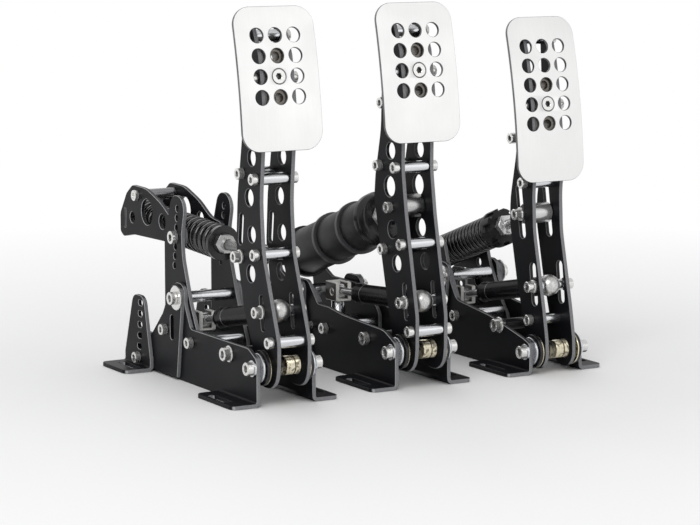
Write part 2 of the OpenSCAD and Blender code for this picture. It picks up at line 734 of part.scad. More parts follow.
module arm(p, pivot, pts, bolt_pts, grid, screw_u, x) {
    hub = [0, pivot];
    difference() {
        sheet(lifted(p, pivot), x, sheet_t);
        rod_x(hub, bush_d / 2 + bolt_clear, x - 1, x + sheet_t + 1);
        for (q = pts) rod_x(q + hub, arm_bolt_d / 2 + bolt_clear, x - 1, x + sheet_t + 1);
        for (q = bolt_pts) rod_x(q, arm_bolt_d / 2 + bolt_clear, x - 1, x + sheet_t + 1);
        rod_x(carrier_mid(grid, screw_u), arm_bolt_d / 2 + bolt_clear, x - 1, x + sheet_t + 1);
        children();
    }
}
// the slot that the bolt at p is set in: width, lean, and reach above and below the bolt
module adjust_slot(p, w, lean, up, down, x) {
    slot_x(p + up * [lean, 1], p - down * [lean, 1], w, x - 1, x + sheet_t + 1);
}
function carrier_mid(grid, u) = plate_pt(grid, u, plate_t + carrier_depth * 0.6);
module clutch_arm_at(x) {
    color(BLACK) translate(clutch_at)
        arm(clutch_arm, pivot_z, clutch_arm_pts, [clutch_a], clutch_grid, clutch_screw_u, x) {
            rod_x([21, 151 + pivot_z], 6.3, x - 1, x + sheet_t + 1);
            rod_x([25, 121.5 + pivot_z], 6.6, x - 1, x + sheet_t + 1);
            rod_x([21.4, 94.8 + pivot_z], 6.2, x - 1, x + sheet_t + 1);
            rod_x([23, 65.8 + pivot_z], 6.7, x - 1, x + sheet_t + 1);
            slot_x([37.4, 105.5 + pivot_z], [39.2, 88.5 + pivot_z], 6.8, x - 1, x + sheet_t + 1);
            adjust_slot(clutch_d, adjust_slot_w, 0.13, 9.5, 11, x);
        }
}
module clutch_arm_left() {
    clutch_arm_at(-arm_out);
}
module clutch_arm_right() {
    clutch_arm_at(arm_in);
}
module brake_arm_at(x) {
    color(BLACK) translate(brake_at)
        arm(brake_arm, pivot_z, brake_arm_pts, [brake_a], brake_grid, clutch_screw_u, x) {
            rod_x([20, 149.6 + pivot_z], 6.5, x - 1, x + sheet_t + 1);
            rod_x([21.5, 122.4 + pivot_z], 8, x - 1, x + sheet_t + 1);
            rod_x([17, 90.3 + pivot_z], 7, x - 1, x + sheet_t + 1);
            rod_x([10.5, 65.2 + pivot_z], 6.4, x - 1, x + sheet_t + 1);
            adjust_slot(brake_d, adjust_slot_w, 0.136, 11.5, 10.5, x);
        }
}
module brake_arm_left() {
    brake_arm_at(-arm_out);
}
module brake_arm_right() {
    brake_arm_at(arm_in);
}
module throttle_arm_at(x) {
    color(BLACK) translate(throttle_at)
        arm(throttle_arm, throttle_pivot_z, throttle_arm_pts, [],
            throttle_grid, throttle_screw_u, x) {
            adjust_slot(throttle_a, throttle_slot_w, 0.18, 19, 15, x);
            adjust_slot(throttle_d, throttle_slot_w, 0.137, 14.5, 11, x);
        }
}
module throttle_arm_left() {
    throttle_arm_at(-arm_out);
}
module throttle_arm_right() {
    throttle_arm_at(arm_in);
}
// spacers between the arm plates, and sleeves beside the eyes that turn there
module spacers(pts, pivot, sleeves) {
    bore = arm_bolt_d / 2 + bolt_clear;
    for (q = pts) tube_x(q + [0, pivot], tube_d / 2, bore, -arm_in, arm_in);
    for (s = sleeves) both_sides() tube_x(s[0], tube_d / 2, bore, s[1] / 2 + side_gap, arm_in);
}
module clutch_arm_spacers() {
    color(ZINC) translate(clutch_at)
        spacers(clutch_arm_pts, pivot_z, [[clutch_a, strut_eye_w], [clutch_d, damper_ball_w]]);
}
module brake_arm_spacers() {
    color(ZINC) translate(brake_at)
        spacers(brake_arm_pts, pivot_z, [[brake_d, damper_ball_w]]);
}
module throttle_arm_spacers() {
    color(ZINC) translate(throttle_at)
        spacers(throttle_arm_pts, throttle_pivot_z, [[throttle_d, damper_ball_w]]);
}
// countersunk plate screw, head flush with the plate's front
module plate_screw(grid, u) {
    at = plate_pt(grid, u, 0);
    head_r = grid_d / 2;
    difference() {
        translate([0, at.x, at.y]) rotate([-plate_turn(u), 0, 0]) union() {
            cone_y(head_r, plate_screw_d / 2, 0.1, plate_t);
            rod_y(plate_screw_d / 2, plate_t, plate_t + carrier_depth - 1);
        }
        translate([0, at.x, at.y]) rotate([-plate_turn(u), 0, 0])
            hex_y(plate_screw_d * 0.67, -1, plate_t * 0.8);
    }
}
module bolts(pts, pivot, washered, grid, u) {
    for (q = pts) arm_bolt(q + [0, pivot], arm_out);
    for (q = washered) {
        arm_bolt(q, arm_out + arm_washer_t);
        both_sides() tube_x(q, arm_washer_d / 2, arm_bolt_d / 2 + bolt_clear, arm_out,
            arm_out + arm_washer_t - seam);
    }
    arm_bolt(carrier_mid(grid, u), arm_out);
    plate_screw(grid, u);
}
module clutch_arm_bolts() {
    color(STEEL) translate(clutch_at)
        bolts(clutch_arm_pts, pivot_z, [clutch_a, clutch_d], clutch_grid, clutch_screw_u);
}
module brake_arm_bolts() {
    color(STEEL) translate(brake_at)
        bolts(concat(brake_arm_pts, [brake_a - [0, pivot_z]]), pivot_z, [brake_d], brake_grid,
            clutch_screw_u);
}
module throttle_arm_bolts() {
    color(STEEL) translate(throttle_at)
        bolts(throttle_arm_pts, throttle_pivot_z, [throttle_a, throttle_d], throttle_grid,
            throttle_screw_u);
}
// curved plate with its grid of holes; the screw's hole is countersunk
module foot_plate(grid, width, length, drop, rows, u_screw) {
    c = plate_centre(grid);
    w = width / 2;
    edge = length / 2;
    difference() {
        intersection() {
            translate([0, grid.x, grid.y]) rotate([90 - plate_tilt, 0, 0])
                translate([0, 0, -40]) linear_extrude(80)
                polygon(outline([[-w, -edge - drop, plate_corner_r], [w, -edge - drop, plate_corner_r],
                    [w, edge - drop, plate_corner_r], [-w, edge - drop, plate_corner_r]]));
            difference() {
                rod_x(c, plate_bend_r, -w - 5, w + 5, $fn = 720);
                rod_x(c, plate_bend_r - plate_t, -w - 6, w + 6, $fn = 720);
            }
        }
        for (col = [0:grid_cols - 1]) for (row = [0:rows - 1])
            let (u = (row - (rows - 1) / 2) * grid_pitch,
                 x = (col - (grid_cols - 1) / 2) * grid_pitch, p = plate_pt(grid, u, 0))
            translate([x, p.x, p.y]) rotate([-plate_turn(u), 0, 0])
                if (abs(x) > 1 || abs(u - u_screw) > 1) rod_y(grid_d / 2, -3, plate_t + 3);
                else {
                    cone_y(grid_d / 2 + bolt_clear, plate_screw_d / 2 + bolt_clear, 0, plate_t);
                    rod_y(grid_d / 2 + bolt_clear, -3, 0);
                    rod_y(plate_screw_d / 2 + bolt_clear, 0, plate_t + 3);
                }
    }
}
module clutch_plate() {
    color(STEEL) translate(clutch_at)
        foot_plate(clutch_grid, plate_w, plate_len, plate_drop, plate_rows, clutch_screw_u);
}
module brake_plate() {
    color(STEEL) translate(brake_at)
        foot_plate(brake_grid, plate_w, plate_len, plate_drop, plate_rows, clutch_screw_u);
}
module throttle_plate() {
    color(STEEL) translate(throttle_at)
        foot_plate(throttle_grid, throttle_plate_w, throttle_plate_len, throttle_plate_drop,
            throttle_rows, throttle_screw_u);
}
// block between the arm plates that takes the plate screw
module carrier(grid, u) {
    at = plate_pt(grid, u, 0);
    difference() {
        intersection() {
            translate([0, at.x, at.y]) rotate([-plate_turn(u), 0, 0])
                translate([-arm_in, 0, -carrier_h / 2])
                cube([arm_gap, plate_t + carrier_depth, carrier_h]);
            rod_x(plate_centre(grid), plate_bend_r - plate_t, -arm_in - 1, arm_in + 1, $fn = 720);
        }
        rod_x(carrier_mid(grid, u), arm_bolt_d / 2 + bolt_clear, -arm_in - 1, arm_in + 1);
        translate([0, at.x, at.y]) rotate([-plate_turn(u), 0, 0])
            rod_y(plate_screw_d / 2 + bolt_clear, 0, plate_t + carrier_depth + 1);
    }
}
module clutch_carrier() {
    color(BLACK) translate(clutch_at) carrier(clutch_grid, clutch_screw_u);
}
module brake_carrier() {
    color(BLACK) translate(brake_at) carrier(brake_grid, clutch_screw_u);
}
module throttle_carrier() {
    color(BLACK) translate(throttle_at) carrier(throttle_grid, throttle_screw_u);
}
// two flanged bushes that meet in the middle and run on the pivot bolt
module bush(pivot) {
    hub = [0, pivot];
    both_sides() difference() {
        union() {
            rod_x(hub, bush_d / 2, seam, arm_out);
            rod_x(hub, bush_flange_d / 2, arm_out, arm_out + bush_flange_t);
        }
        rod_x(hub, base_bolt_d / 2 + run_fit, -1, arm_out + bush_flange_t + 1);
    }
}
module clutch_bush() {
    color(BRONZE) translate(clutch_at) bush(pivot_z);
}
module brake_bush() {
    color(BRONZE) translate(brake_at) bush(pivot_z);
}
module throttle_bush() {
    color(BRONZE) translate(throttle_at) bush(throttle_pivot_z);
}

// damper tube with its round eye at zero
module damper_tube() {
    floor_s = damper_ball_d / 2 + 4;
    cap_len = 5;
    difference() {
        union() {
            intersection() {
                sphere(d = damper_ball_d);
                translate([-damper_ball_w / 2, -damper_ball_d, -damper_ball_d])
                    cube([damper_ball_w, 2 * damper_ball_d, 2 * damper_ball_d]);
            }
            rod_y(damper_d / 2, damper_ball_d / 2 - 3, damper_tube_len);
            rod_y(damper_cap_d / 2, damper_tube_len - cap_len, damper_tube_len);
        }
        rod_y(damper_rod_d / 2 + damper_clear, floor_s, damper_tube_len - cap_len);
        rod_y(damper_rod_d / 2 + damper_clear * 0.5, floor_s, damper_tube_len + 1);
        rod_x([0, 0], arm_bolt_d / 2 + run_fit, -damper_ball_w, damper_ball_w);
    }
}
// damper rod with its eye at the rear; length is from the front eye to the rear one
module damper_rod(length) {
    inside = damper_tube_len * 0.6;
    difference() {
        union() {
            rod_y(damper_rod_d / 2, inside, length);
            rod_x([length, 0], damper_eye_d / 2, -damper_eye_w / 2, damper_eye_w / 2);
        }
        rod_x([length, 0], arm_bolt_d / 2 + run_fit, -damper_eye_w, damper_eye_w);
    }
}
module clutch_damper_tube() {
    color(BLACK) translate(clutch_at) along(clutch_d, cell_pin) damper_tube();
}
module clutch_damper_rod() {
    color(STEEL) translate(clutch_at) along(clutch_d, cell_pin)
        damper_rod(norm(cell_pin - clutch_d));
}
module brake_damper_tube() {
    color(BLACK) translate(brake_at) along(brake_d, brake_cell_pin) damper_tube();
}
module brake_damper_rod() {
    color(STEEL) translate(brake_at) along(brake_d, brake_cell_pin)
        damper_rod(norm(brake_cell_pin - brake_d));
}
module throttle_damper_tube() {
    color(BLACK) translate(throttle_at) along(throttle_d, cell_pin) damper_tube();
}
module throttle_damper_rod() {
    color(STEEL) translate(throttle_at) along(throttle_d, cell_pin)
        damper_rod(norm(cell_pin - throttle_d));
}

// clutch spring cradle: two side plates and the seat whose tabs pass through them
cradle_plate = [[124, 99, 9], [160, 102, 30], [214, 101, 30], [234, 97.5, 5], [cradle_rear, 101, 3],
    [cradle_rear, 116, 8], [228, 133, 8], [217, 140.5, 9], [192, 140, 40], [166, 131.5, 60],
    [146, 120.5, 30], [124, 118, 9]];
cradle_tie_at = [208, 133];
module seat_plate(clear) {
    translate([-cradle_in + seam, clutch_seat_s, -spring_d / 2])
        cube([cradle_gap - 2 * seam, sheet_t, spring_d]);
    translate([-cradle_out - (clear > 0 ? 1 : 0), clutch_seat_s - clear, -seat_tab_h / 2 - clear])
        cube([2 * cradle_out + (clear > 0 ? 2 : 0), sheet_t + 2 * clear, seat_tab_h + 2 * clear]);
}
module clutch_cradle() {
    color(BLACK) translate(clutch_at) {
        difference() {
            both_sides() difference() {
                sheet(cradle_plate, cradle_in, sheet_t);
                rod_x(clutch_t, base_bolt_d / 2 + run_fit, cradle_in - 1, cradle_out + 1);
                rod_x(cradle_tie_at, arm_bolt_d / 2 + bolt_clear, cradle_in - 1, cradle_out + 1);
                rod_x([190.5, 121.5], 10.3, cradle_in - 1, cradle_out + 1);
                rod_x([163, 117], 6, cradle_in - 1, cradle_out + 1);
                rod_x([217.5, 114.5], 4.5, cradle_in - 1, cradle_out + 1);
            }
            along(clutch_a, clutch_t) seat_plate(bolt_clear / 3);
        }
        difference() {
            along(clutch_a, clutch_t) seat_plate(0);
            along(clutch_a, clutch_t)
                rod_y(strut_rod_d / 2 + guide_clear, clutch_seat_s - 1, clutch_seat_s + sheet_t + 1);
        }
    }
}
module clutch_cradle_tie() {
    color(ZINC) translate(clutch_at) {
        tube_x(cradle_tie_at, tube_d / 2, arm_bolt_d / 2 + bolt_clear, -cradle_in, cradle_in);
        bolt_x(cradle_tie_at, arm_bolt_d, arm_head_d, arm_head_h * 0.7, arm_bolt_d * 0.8, cradle_out);
    }
}
module clutch_spring() {
    color(BLACK) translate(clutch_at) along(clutch_a, clutch_t) translate([0, clutch_cup_s, 0])
        coil((spring_d - clutch_wire_d) / 2, clutch_wire_d, clutch_seat_s - clutch_cup_s, clutch_turns);
}
module clutch_strut_rod() {
    color(STEEL) translate(clutch_at) along(clutch_a, clutch_t) difference() {
        union() {
            rod_y(strut_rod_d / 2, 0, clutch_seat_s + 5);
            rod_x([0, 0], strut_eye_d / 2, -strut_eye_w / 2, strut_eye_w / 2);
        }
        rod_x([0, 0], arm_bolt_d / 2 + run_fit, -strut_eye_w, strut_eye_w);
    }
}
module clutch_spring_cup() {
    nut_h = 6;
    boss_h = 7;
    boss_r = (spring_d / 2 - clutch_wire_d) * cos(180 / coil_rings) - side_gap;
    color(BLACK) translate(clutch_at) along(clutch_a, clutch_t) difference() {
        union() {
            rod_y(spring_d / 2, clutch_cup_s - cup_t, clutch_cup_s);
            rod_y(boss_r, clutch_cup_s, clutch_cup_s + boss_h);
            rod_y(strut_rod_d, clutch_cup_s - cup_t - 2, clutch_cup_s - cup_t);
            hex_y(strut_rod_d * 1.625, clutch_cup_s - cup_t - 2 - nut_h, clutch_cup_s - cup_t - 2);
        }
        rod_y(strut_rod_d / 2 + bolt_clear / 3, 0, clutch_cup_s + boss_h + 1);
    }
}

// brake strut: cup and rod in front, guide tube and plate behind, rubbers between
guide_in = brake_rod_d / 2 + guide_clear;
guide_out = guide_in + guide_wall;
guide_front_s = brake_disc1_s + disc_t - 8;
module brake_strut_front() {
    lip = 5;
    front_s = brake_cup_s - 11;
    nut_h = 7;
    color(BLACK) translate(brake_at) along(brake_a, brake_t) difference() {
        union() {
            rod_x([0, 0], brake_barrel_d / 2, -arm_in + side_gap, arm_in - side_gap);
            rod_y(brake_rod_d / 2, 0, brake_disc2_s);
            hex_y(brake_rod_d * 1.7, front_s - nut_h, front_s);
            cone_y(disc_d / 2 - 4, disc_d / 2, front_s, front_s + lip);
            rod_y(disc_d / 2, front_s + lip, brake_cup_s);
        }
        rod_x([0, 0], arm_bolt_d / 2 + run_fit, -arm_in, arm_in);
    }
}
module brake_strut_rear() {
    len_t = norm(brake_t - brake_a);
    color(BLACK) translate(brake_at) along(brake_a, brake_t) difference() {
        union() {
            rod_y(guide_out, guide_front_s, brake_plate_s + 1);
            rod_y(disc_d / 2, brake_plate_s, brake_plate_s + 4);
            rod_y(guide_out, brake_plate_s, len_t);
            rod_x([len_t, 0], rear_barrel_d / 2, -tower_in + side_gap, tower_in - side_gap);
        }
        rod_y(guide_in, guide_front_s - 1, brake_plate_s - 1);
        rod_x([len_t, 0], base_bolt_d / 2 + run_fit, -tower_in, tower_in);
    }
}
module ring_y(outer, inner, s0, s1) {
    difference() {
        rod_y(outer, s0, s1);
        rod_y(inner, s0 - 1, s1 + 1);
    }
}
module brake_rubbers() {
    bore = guide_out + disc_clear;
    color(RUBBER) translate(brake_at) along(brake_a, brake_t) {
        ring_y(rubber_d / 2, bore, brake_cup_s, brake_disc1_s);
        ring_y(rubber_d / 2, bore, brake_disc1_s + disc_t, brake_disc2_s);
        ring_y(rubber_d / 2, bore, brake_disc2_s + disc_t, brake_plate_s);
    }
}
module brake_disc_front() {
    color(BLACK) translate(brake_at) along(brake_a, brake_t)
        ring_y(disc_d / 2, guide_out + disc_clear, brake_disc1_s, brake_disc1_s + disc_t);
}
module brake_disc_rear() {
    color(BLACK) translate(brake_at) along(brake_a, brake_t)
        ring_y(disc_d / 2, guide_out + disc_clear, brake_disc2_s, brake_disc2_s + disc_t);
}

// throttle strut: barrel, rod and collar in front, guide tube and seat behind
throttle_guide_in = strut_rod_d / 2 + guide_clear;
throttle_guide_out = throttle_guide_in + 1.6;
throttle_guide_s = collar_s + 31;
throttle_rod_s = throttle_guide_s + 11;
module throttle_strut_rod() {
    nut_h = 6;
    color(STEEL) translate(throttle_at) along(throttle_a, throttle_t) difference() {
        union() {
            rod_x([0, 0], throttle_barrel_d / 2, -arm_in + side_gap, arm_in - side_gap);
            rod_y(strut_rod_d / 2, 0, throttle_rod_s);
            hex_y(strut_rod_d * 1.9, collar_s - collar_len - nut_h, collar_s - collar_len);
        }
        rod_x([0, 0], arm_bolt_d / 2 + run_fit, -arm_in, arm_in);
    }
}
module throttle_collar() {
    notches = 8;
    notch_w = 5;
    notch_h = 2.5;
    color(BLACK) translate(throttle_at) along(throttle_a, throttle_t) difference() {
        rod_y(collar_d / 2, collar_s - collar_len, collar_s);
        rod_y(strut_rod_d / 2 + bolt_clear / 3, 0, collar_s + 1);
        for (i = [0:notches - 1]) rotate([0, i * 360 / notches, 0])
            translate([-notch_w / 2, collar_s - collar_len - 1, collar_d / 2 - notch_h])
            cube([notch_w, collar_len - 3, notch_h + 1]);
    }
}
module throttle_strut_rear() {
    len_t = norm(throttle_t - throttle_a);
    color(BLACK) translate(throttle_at) along(throttle_a, throttle_t) difference() {
        union() {
            rod_y(throttle_guide_out, throttle_guide_s, throttle_seat_s + 1);
            rod_y(spring_d / 2, throttle_seat_s, throttle_seat_s + 4);
            rod_y(throttle_guide_out, throttle_seat_s, len_t);
            rod_x([len_t, 0], rear_barrel_d / 2, -tower_in + side_gap, tower_in - side_gap);
        }
        rod_y(throttle_guide_in, throttle_guide_s - 1, throttle_seat_s - 1);
        rod_x([len_t, 0], base_bolt_d / 2 + run_fit, -tower_in, tower_in);
    }
}
module throttle_spring() {
    color(BLACK) translate(throttle_at) along(throttle_a, throttle_t) translate([0, collar_s, 0])
        coil((spring_d - throttle_wire_d) / 2, throttle_wire_d, throttle_seat_s - collar_s,
            throttle_turns);
}

clutch_base_left();
clutch_base_right();
brake_base_left();
brake_base_right();
throttle_base_left();
throttle_base_right();
clutch_towers();
brake_towers();
throttle_towers();
support_plates();
rear_brackets();
base_bolts();
base_spacers();
pivot_bolts();
pivot_washers();
clutch_load_cell();
brake_load_cell();
throttle_load_cell();
clutch_arm_left();
clutch_arm_right();
clutch_arm_spacers();
clutch_arm_bolts();
clutch_plate();
clutch_carrier();
clutch_bush();
brake_arm_left();
brake_arm_right();
brake_arm_spacers();
brake_arm_bolts();
brake_plate();
brake_carrier();
brake_bush();
throttle_arm_left();
throttle_arm_right();
throttle_arm_spacers();
throttle_arm_bolts();
throttle_plate();
throttle_carrier();
throttle_bush();
clutch_damper_tube();
clutch_damper_rod();
brake_damper_tube();
brake_damper_rod();
throttle_damper_tube();
throttle_damper_rod();
clutch_cradle();
clutch_cradle_tie();
clutch_spring();
clutch_strut_rod();
clutch_spring_cup();
brake_strut_rear();
brake_rubbers();
brake_disc_front();
brake_disc_rear();
brake_strut_front();
throttle_strut_rear();
throttle_spring();
throttle_strut_rod();
throttle_collar();
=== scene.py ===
# %% [markdown]
# A set of three racing pedals for a driving game rig: clutch, brake and throttle.
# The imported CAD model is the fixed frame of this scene. It brings every plate, bolt and
# tube at its real size and place, and this script never moves a CAD node. It adds finishes
# and light, a copy of each rigid node with eased edges, and new foot plates, carriers,
# springs and brake rubbers. Each of these stands for the node that it replaces.

# %% Load the frame
import json
import math

import bpy
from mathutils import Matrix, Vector

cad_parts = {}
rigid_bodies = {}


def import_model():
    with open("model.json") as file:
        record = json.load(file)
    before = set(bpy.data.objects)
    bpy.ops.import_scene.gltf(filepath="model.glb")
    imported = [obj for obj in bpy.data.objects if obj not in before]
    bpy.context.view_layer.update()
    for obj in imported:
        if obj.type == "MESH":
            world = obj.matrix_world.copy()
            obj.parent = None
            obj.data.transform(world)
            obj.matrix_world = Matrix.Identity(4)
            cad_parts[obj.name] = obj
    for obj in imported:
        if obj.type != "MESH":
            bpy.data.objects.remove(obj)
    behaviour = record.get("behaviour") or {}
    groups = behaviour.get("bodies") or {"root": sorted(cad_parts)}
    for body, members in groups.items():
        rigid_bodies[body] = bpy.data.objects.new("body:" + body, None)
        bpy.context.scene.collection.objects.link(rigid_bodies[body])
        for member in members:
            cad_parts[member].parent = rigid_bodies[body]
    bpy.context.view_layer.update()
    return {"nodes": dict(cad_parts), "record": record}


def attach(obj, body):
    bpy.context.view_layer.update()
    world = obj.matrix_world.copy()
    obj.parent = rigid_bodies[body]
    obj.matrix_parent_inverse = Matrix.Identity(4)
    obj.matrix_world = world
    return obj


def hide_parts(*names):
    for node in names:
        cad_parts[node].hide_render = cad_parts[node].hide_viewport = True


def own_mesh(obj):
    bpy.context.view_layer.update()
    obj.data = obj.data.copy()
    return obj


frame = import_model()
nodes = frame["nodes"]
MM = 0.001
PEDALS = ("clutch", "brake", "throttle")
PEDAL_MIDDLES = (-121.0 * MM, 0.0, 121.0 * MM)

# %% [markdown]
# The camera stands low and to the left of the set, a little under two metres away, with a
# long lens. That is why the three pedals look almost parallel and the feet nearly flat.
# The place was found by fitting known points of the set to the picture, so it is written
# here as plain numbers: where the camera is, what it looks at, and its focal length.

# %% Camera
CAMERA_AT = Vector((-0.9957, -1.7315, 0.3732))
CAMERA_LOOKS_AT = Vector((-0.06053, -0.104, 0.09909))
CAMERA_LENS_MM = 131.9
SENSOR_WIDTH_MM = 36.0

bpy.ops.object.select_all(action="DESELECT")
bpy.ops.object.camera_add(location=CAMERA_AT)
camera = bpy.context.active_object
camera.name = "photo_camera"
camera.rotation_euler = (CAMERA_LOOKS_AT - CAMERA_AT).to_track_quat("-Z", "Y").to_euler()
camera.data.sensor_fit = "HORIZONTAL"
camera.data.sensor_width = SENSOR_WIDTH_MM
camera.data.lens = CAMERA_LENS_MM
camera.data.dof.use_dof = False
bpy.context.scene.camera = camera
print("camera to target:", round((CAMERA_LOOKS_AT - CAMERA_AT).length, 3), "m")

# %% [markdown]
# A finish is a small network of shader nodes. These helpers start a material with a
# Principled shader, add a node, and read the place or the face direction on a piece. All
# patterns read Object coordinates, in metres, because every piece sits at the origin and
# the pattern then stays put when a pedal moves.


# %% Material helpers: start and place
def start_finish(name):
    finish = bpy.data.materials.new(name)
    finish.use_nodes = True
    shader = finish.node_tree.nodes["Principled BSDF"]
    return finish, finish.node_tree, shader


def add_node(tree, kind, **settings):
    node = tree.nodes.new(kind)
    for key, value in settings.items():
        setattr(node, key, value)
    return node


def object_place(tree, stretch=(1, 1, 1)):
    coords = add_node(tree, "ShaderNodeTexCoord")
    mapping = add_node(tree, "ShaderNodeMapping", vector_type="POINT")
    mapping.inputs["Scale"].default_value = stretch
    tree.links.new(coords.outputs["Object"], mapping.inputs["Vector"])
    return mapping.outputs["Vector"]


def axes_of(tree, vector):
    axes = add_node(tree, "ShaderNodeSeparateXYZ")
    tree.links.new(vector, axes.inputs["Vector"])
    return axes.outputs


def face_direction(tree):
    coords = add_node(tree, "ShaderNodeTexCoord")
    return axes_of(tree, coords.outputs["Normal"])


print("finishes can be started")

# %% [markdown]
# The rest of a finish is arithmetic on numbers and colours. A noise gives a grain whose
# values lie mostly between 0.3 and 0.7, so a pair of tones or a range of roughness is
# spread over that part. A bump turns the same grain into relief.

# %% Material helpers: patterns
NOISE_LOW = 0.3
NOISE_HIGH = 0.7
SOFT_DETAIL = 2.0
FINE_DETAIL = 3.0
LINE_DETAIL = 4.0
LINE_ROUGH = 0.6


def grain(tree, place, scale, detail=SOFT_DETAIL, rough=0.5):
    noise = add_node(tree, "ShaderNodeTexNoise")
    noise.inputs["Scale"].default_value = scale
    noise.inputs["Detail"].default_value = detail
    noise.inputs["Roughness"].default_value = rough
    tree.links.new(place, noise.inputs["Vector"])
    return noise.outputs["Fac"]


def two_tone(tree, value, tones, high=NOISE_HIGH):
    ramp = add_node(tree, "ShaderNodeValToRGB")
    stops = zip(ramp.color_ramp.elements, (NOISE_LOW, high), tones)
    for element, position, colour in stops:
        element.position = position
        element.color = (*colour, 1.0)
    tree.links.new(value, ramp.inputs["Fac"])
    return ramp.outputs["Color"]


def map_range(tree, value, low, high, to_low=0.0, to_high=1.0):
    span = add_node(tree, "ShaderNodeMapRange")
    span.inputs["From Min"].default_value = low
    span.inputs["From Max"].default_value = high
    span.inputs["To Min"].default_value = to_low
    span.inputs["To Max"].default_value = to_high
    tree.links.new(value, span.inputs["Value"])
    return span.outputs["Result"]


def spread(tree, value, low, high):
    return map_range(tree, value, NOISE_LOW, NOISE_HIGH, low, high)


def bump(tree, shader, height, strength, distance):
    node = add_node(tree, "ShaderNodeBump")
    node.inputs["Strength"].default_value = strength
    node.inputs["Distance"].default_value = distance
    tree.links.new(height, node.inputs["Height"])
    tree.links.new(node.outputs["Normal"], shader.inputs["Normal"])


def blend_colour(tree, share, first, second):
    mix = add_node(tree, "ShaderNodeMix", data_type="RGBA")
    tree.links.new(share, mix.inputs["Factor"])
    tree.links.new(first, mix.inputs["A"])
    tree.links.new(second, mix.inputs["B"])
    return mix.outputs["Result"]


def math_node(tree, operation, first, second=None):
    node = add_node(tree, "ShaderNodeMath", operation=operation)
    for socket, value in zip(node.inputs, (first, second)):
        if value is None:
            continue
        if isinstance(value, (int, float)):
            socket.default_value = value
        else:
            tree.links.new(value, socket)
    return node.outputs["Value"]


print("material helpers ready")

# %% [markdown]
# The plates of the set are laser-cut steel with a thin satin black powder coat. On the wide faces
# the coat shows a fine orange peel. The lighter edges are painted highlights: edges that look
# forwards or back are painted grey on all sheets, and on the arms every edge is. On the base
# sheets the upper edges stay dark and get a painted highlight line only on the broken corner. All
# this is found from the face direction: a wide face looks to the side, and a corner at half a
# right angle. The bent feet lie flat on the floor and are kept black by their height.

# %% Powder coat on the plates
COAT = ((0.004, 0.0042, 0.0052), (0.0095, 0.010, 0.0125))
COAT_TONE_HIGH = 0.72
# The edge tones of the arms and the corner tones of the bases are painted highlights, lighter
# grey where an edge catches the light.
ARM_EDGE_HIGHLIGHT = ((0.16, 0.162, 0.17), (0.25, 0.252, 0.262))
BASE_EDGE = ((0.035, 0.0355, 0.038), (0.065, 0.066, 0.07))
BASE_CORNER_HIGHLIGHT = ((0.3, 0.302, 0.31), (0.45, 0.452, 0.46))
WIDE_FACE_TURN = (0.78, 0.9)
CORNER_TURN = (0.5, 0.6)
END_FACE_TURN = (0.5, 0.7)
FEET_TOP = (5.5 * MM, 6.5 * MM)
PEEL_GRAIN = 1500.0
COAT_CLOUD = 22.0
COAT_ROUGH = (0.36, 0.46)
COAT_GLOSS = 0.1
PEEL_RELIEF = (0.25, 0.06 * MM)


def powder_coat(name, edge, corner):
    finish, tree, shader = start_finish(name)
    place = object_place(tree)
    peel = grain(tree, place, PEEL_GRAIN, FINE_DETAIL)
    cloud = grain(tree, place, COAT_CLOUD)
    facing = face_direction(tree)
    sideways = math_node(tree, "ABSOLUTE", facing["X"])
    endways = math_node(tree, "ABSOLUTE", facing["Y"])
    cut_edge = map_range(tree, sideways, *WIDE_FACE_TURN, 1.0, 0.0)
    at_corner = map_range(tree, sideways, *CORNER_TURN)
    end_face = map_range(tree, endways, *END_FACE_TURN)
    raised = map_range(tree, axes_of(tree, place)["Z"], *FEET_TOP)
    bare = math_node(tree, "MAXIMUM", raised, end_face)
    # Edges and broken corners get painted highlights here, picked by face direction.
    shown_edge = math_node(tree, "MULTIPLY", cut_edge, bare)
    side_tone = two_tone(tree, peel, edge)
    edge_tone_with_highlight = blend_colour(tree, end_face, side_tone, two_tone(tree, peel, ARM_EDGE_HIGHLIGHT))
    edge_tone_with_highlight = blend_colour(tree, at_corner, edge_tone_with_highlight, two_tone(tree, peel, corner))
    face_tone = two_tone(tree, peel, COAT, COAT_TONE_HIGH)
    colour = blend_colour(tree, shown_edge, face_tone, edge_tone_with_highlight)
    tree.links.new(colour, shader.inputs["Base Color"])
    tree.links.new(spread(tree, cloud, *COAT_ROUGH), shader.inputs["Roughness"])
    shader.inputs["Specular IOR Level"].default_value = COAT_GLOSS
    bump(tree, shader, peel, *PEEL_RELIEF)
    return finish


arm_coat = powder_coat("arm_powder_coat", ARM_EDGE_HIGHLIGHT, ARM_EDGE_HIGHLIGHT)
base_coat = powder_coat("base_powder_coat", BASE_EDGE, BASE_CORNER_HIGHLIGHT)
print("finishes:", arm_coat.name, base_coat.name)

# %% [markdown]
# Turned black parts, such as the brake discs and cups, are smoother than the plates. Fine
# rings from the lathe would be too small to see, so a soft cloud in the gloss is enough.
# The springs, the rubber and the walls of the holes in the sheets differ from the turned
# parts only in tone, roughness and gloss, so they share the network.

# %% Black turned parts, springs, rubber and holes
SATIN_CLOUD = 60.0
SATIN_RELIEF = (0.12, 0.03 * MM)
TURNED = ((0.006, 0.006, 0.007), (0.014, 0.014, 0.016))
SPRING = ((0.004, 0.004, 0.0045), (0.009, 0.009, 0.010))
RUBBER = ((0.008, 0.008, 0.009), (0.015, 0.015, 0.017))
DISC = ((0.05, 0.05, 0.053), (0.085, 0.085, 0.09))


def satin_black(name, tones, rough, scale, gloss):
    finish, tree, shader = start_finish(name)
    place = object_place(tree)
    speck = grain(tree, place, scale, FINE_DETAIL)
    cloud = grain(tree, place, SATIN_CLOUD)
    tree.links.new(two_tone(tree, speck, tones), shader.inputs["Base Color"])
    tree.links.new(spread(tree, cloud, *rough), shader.inputs["Roughness"])
    shader.inputs["Specular IOR Level"].default_value = gloss
    bump(tree, shader, speck, *SATIN_RELIEF)
    return finish


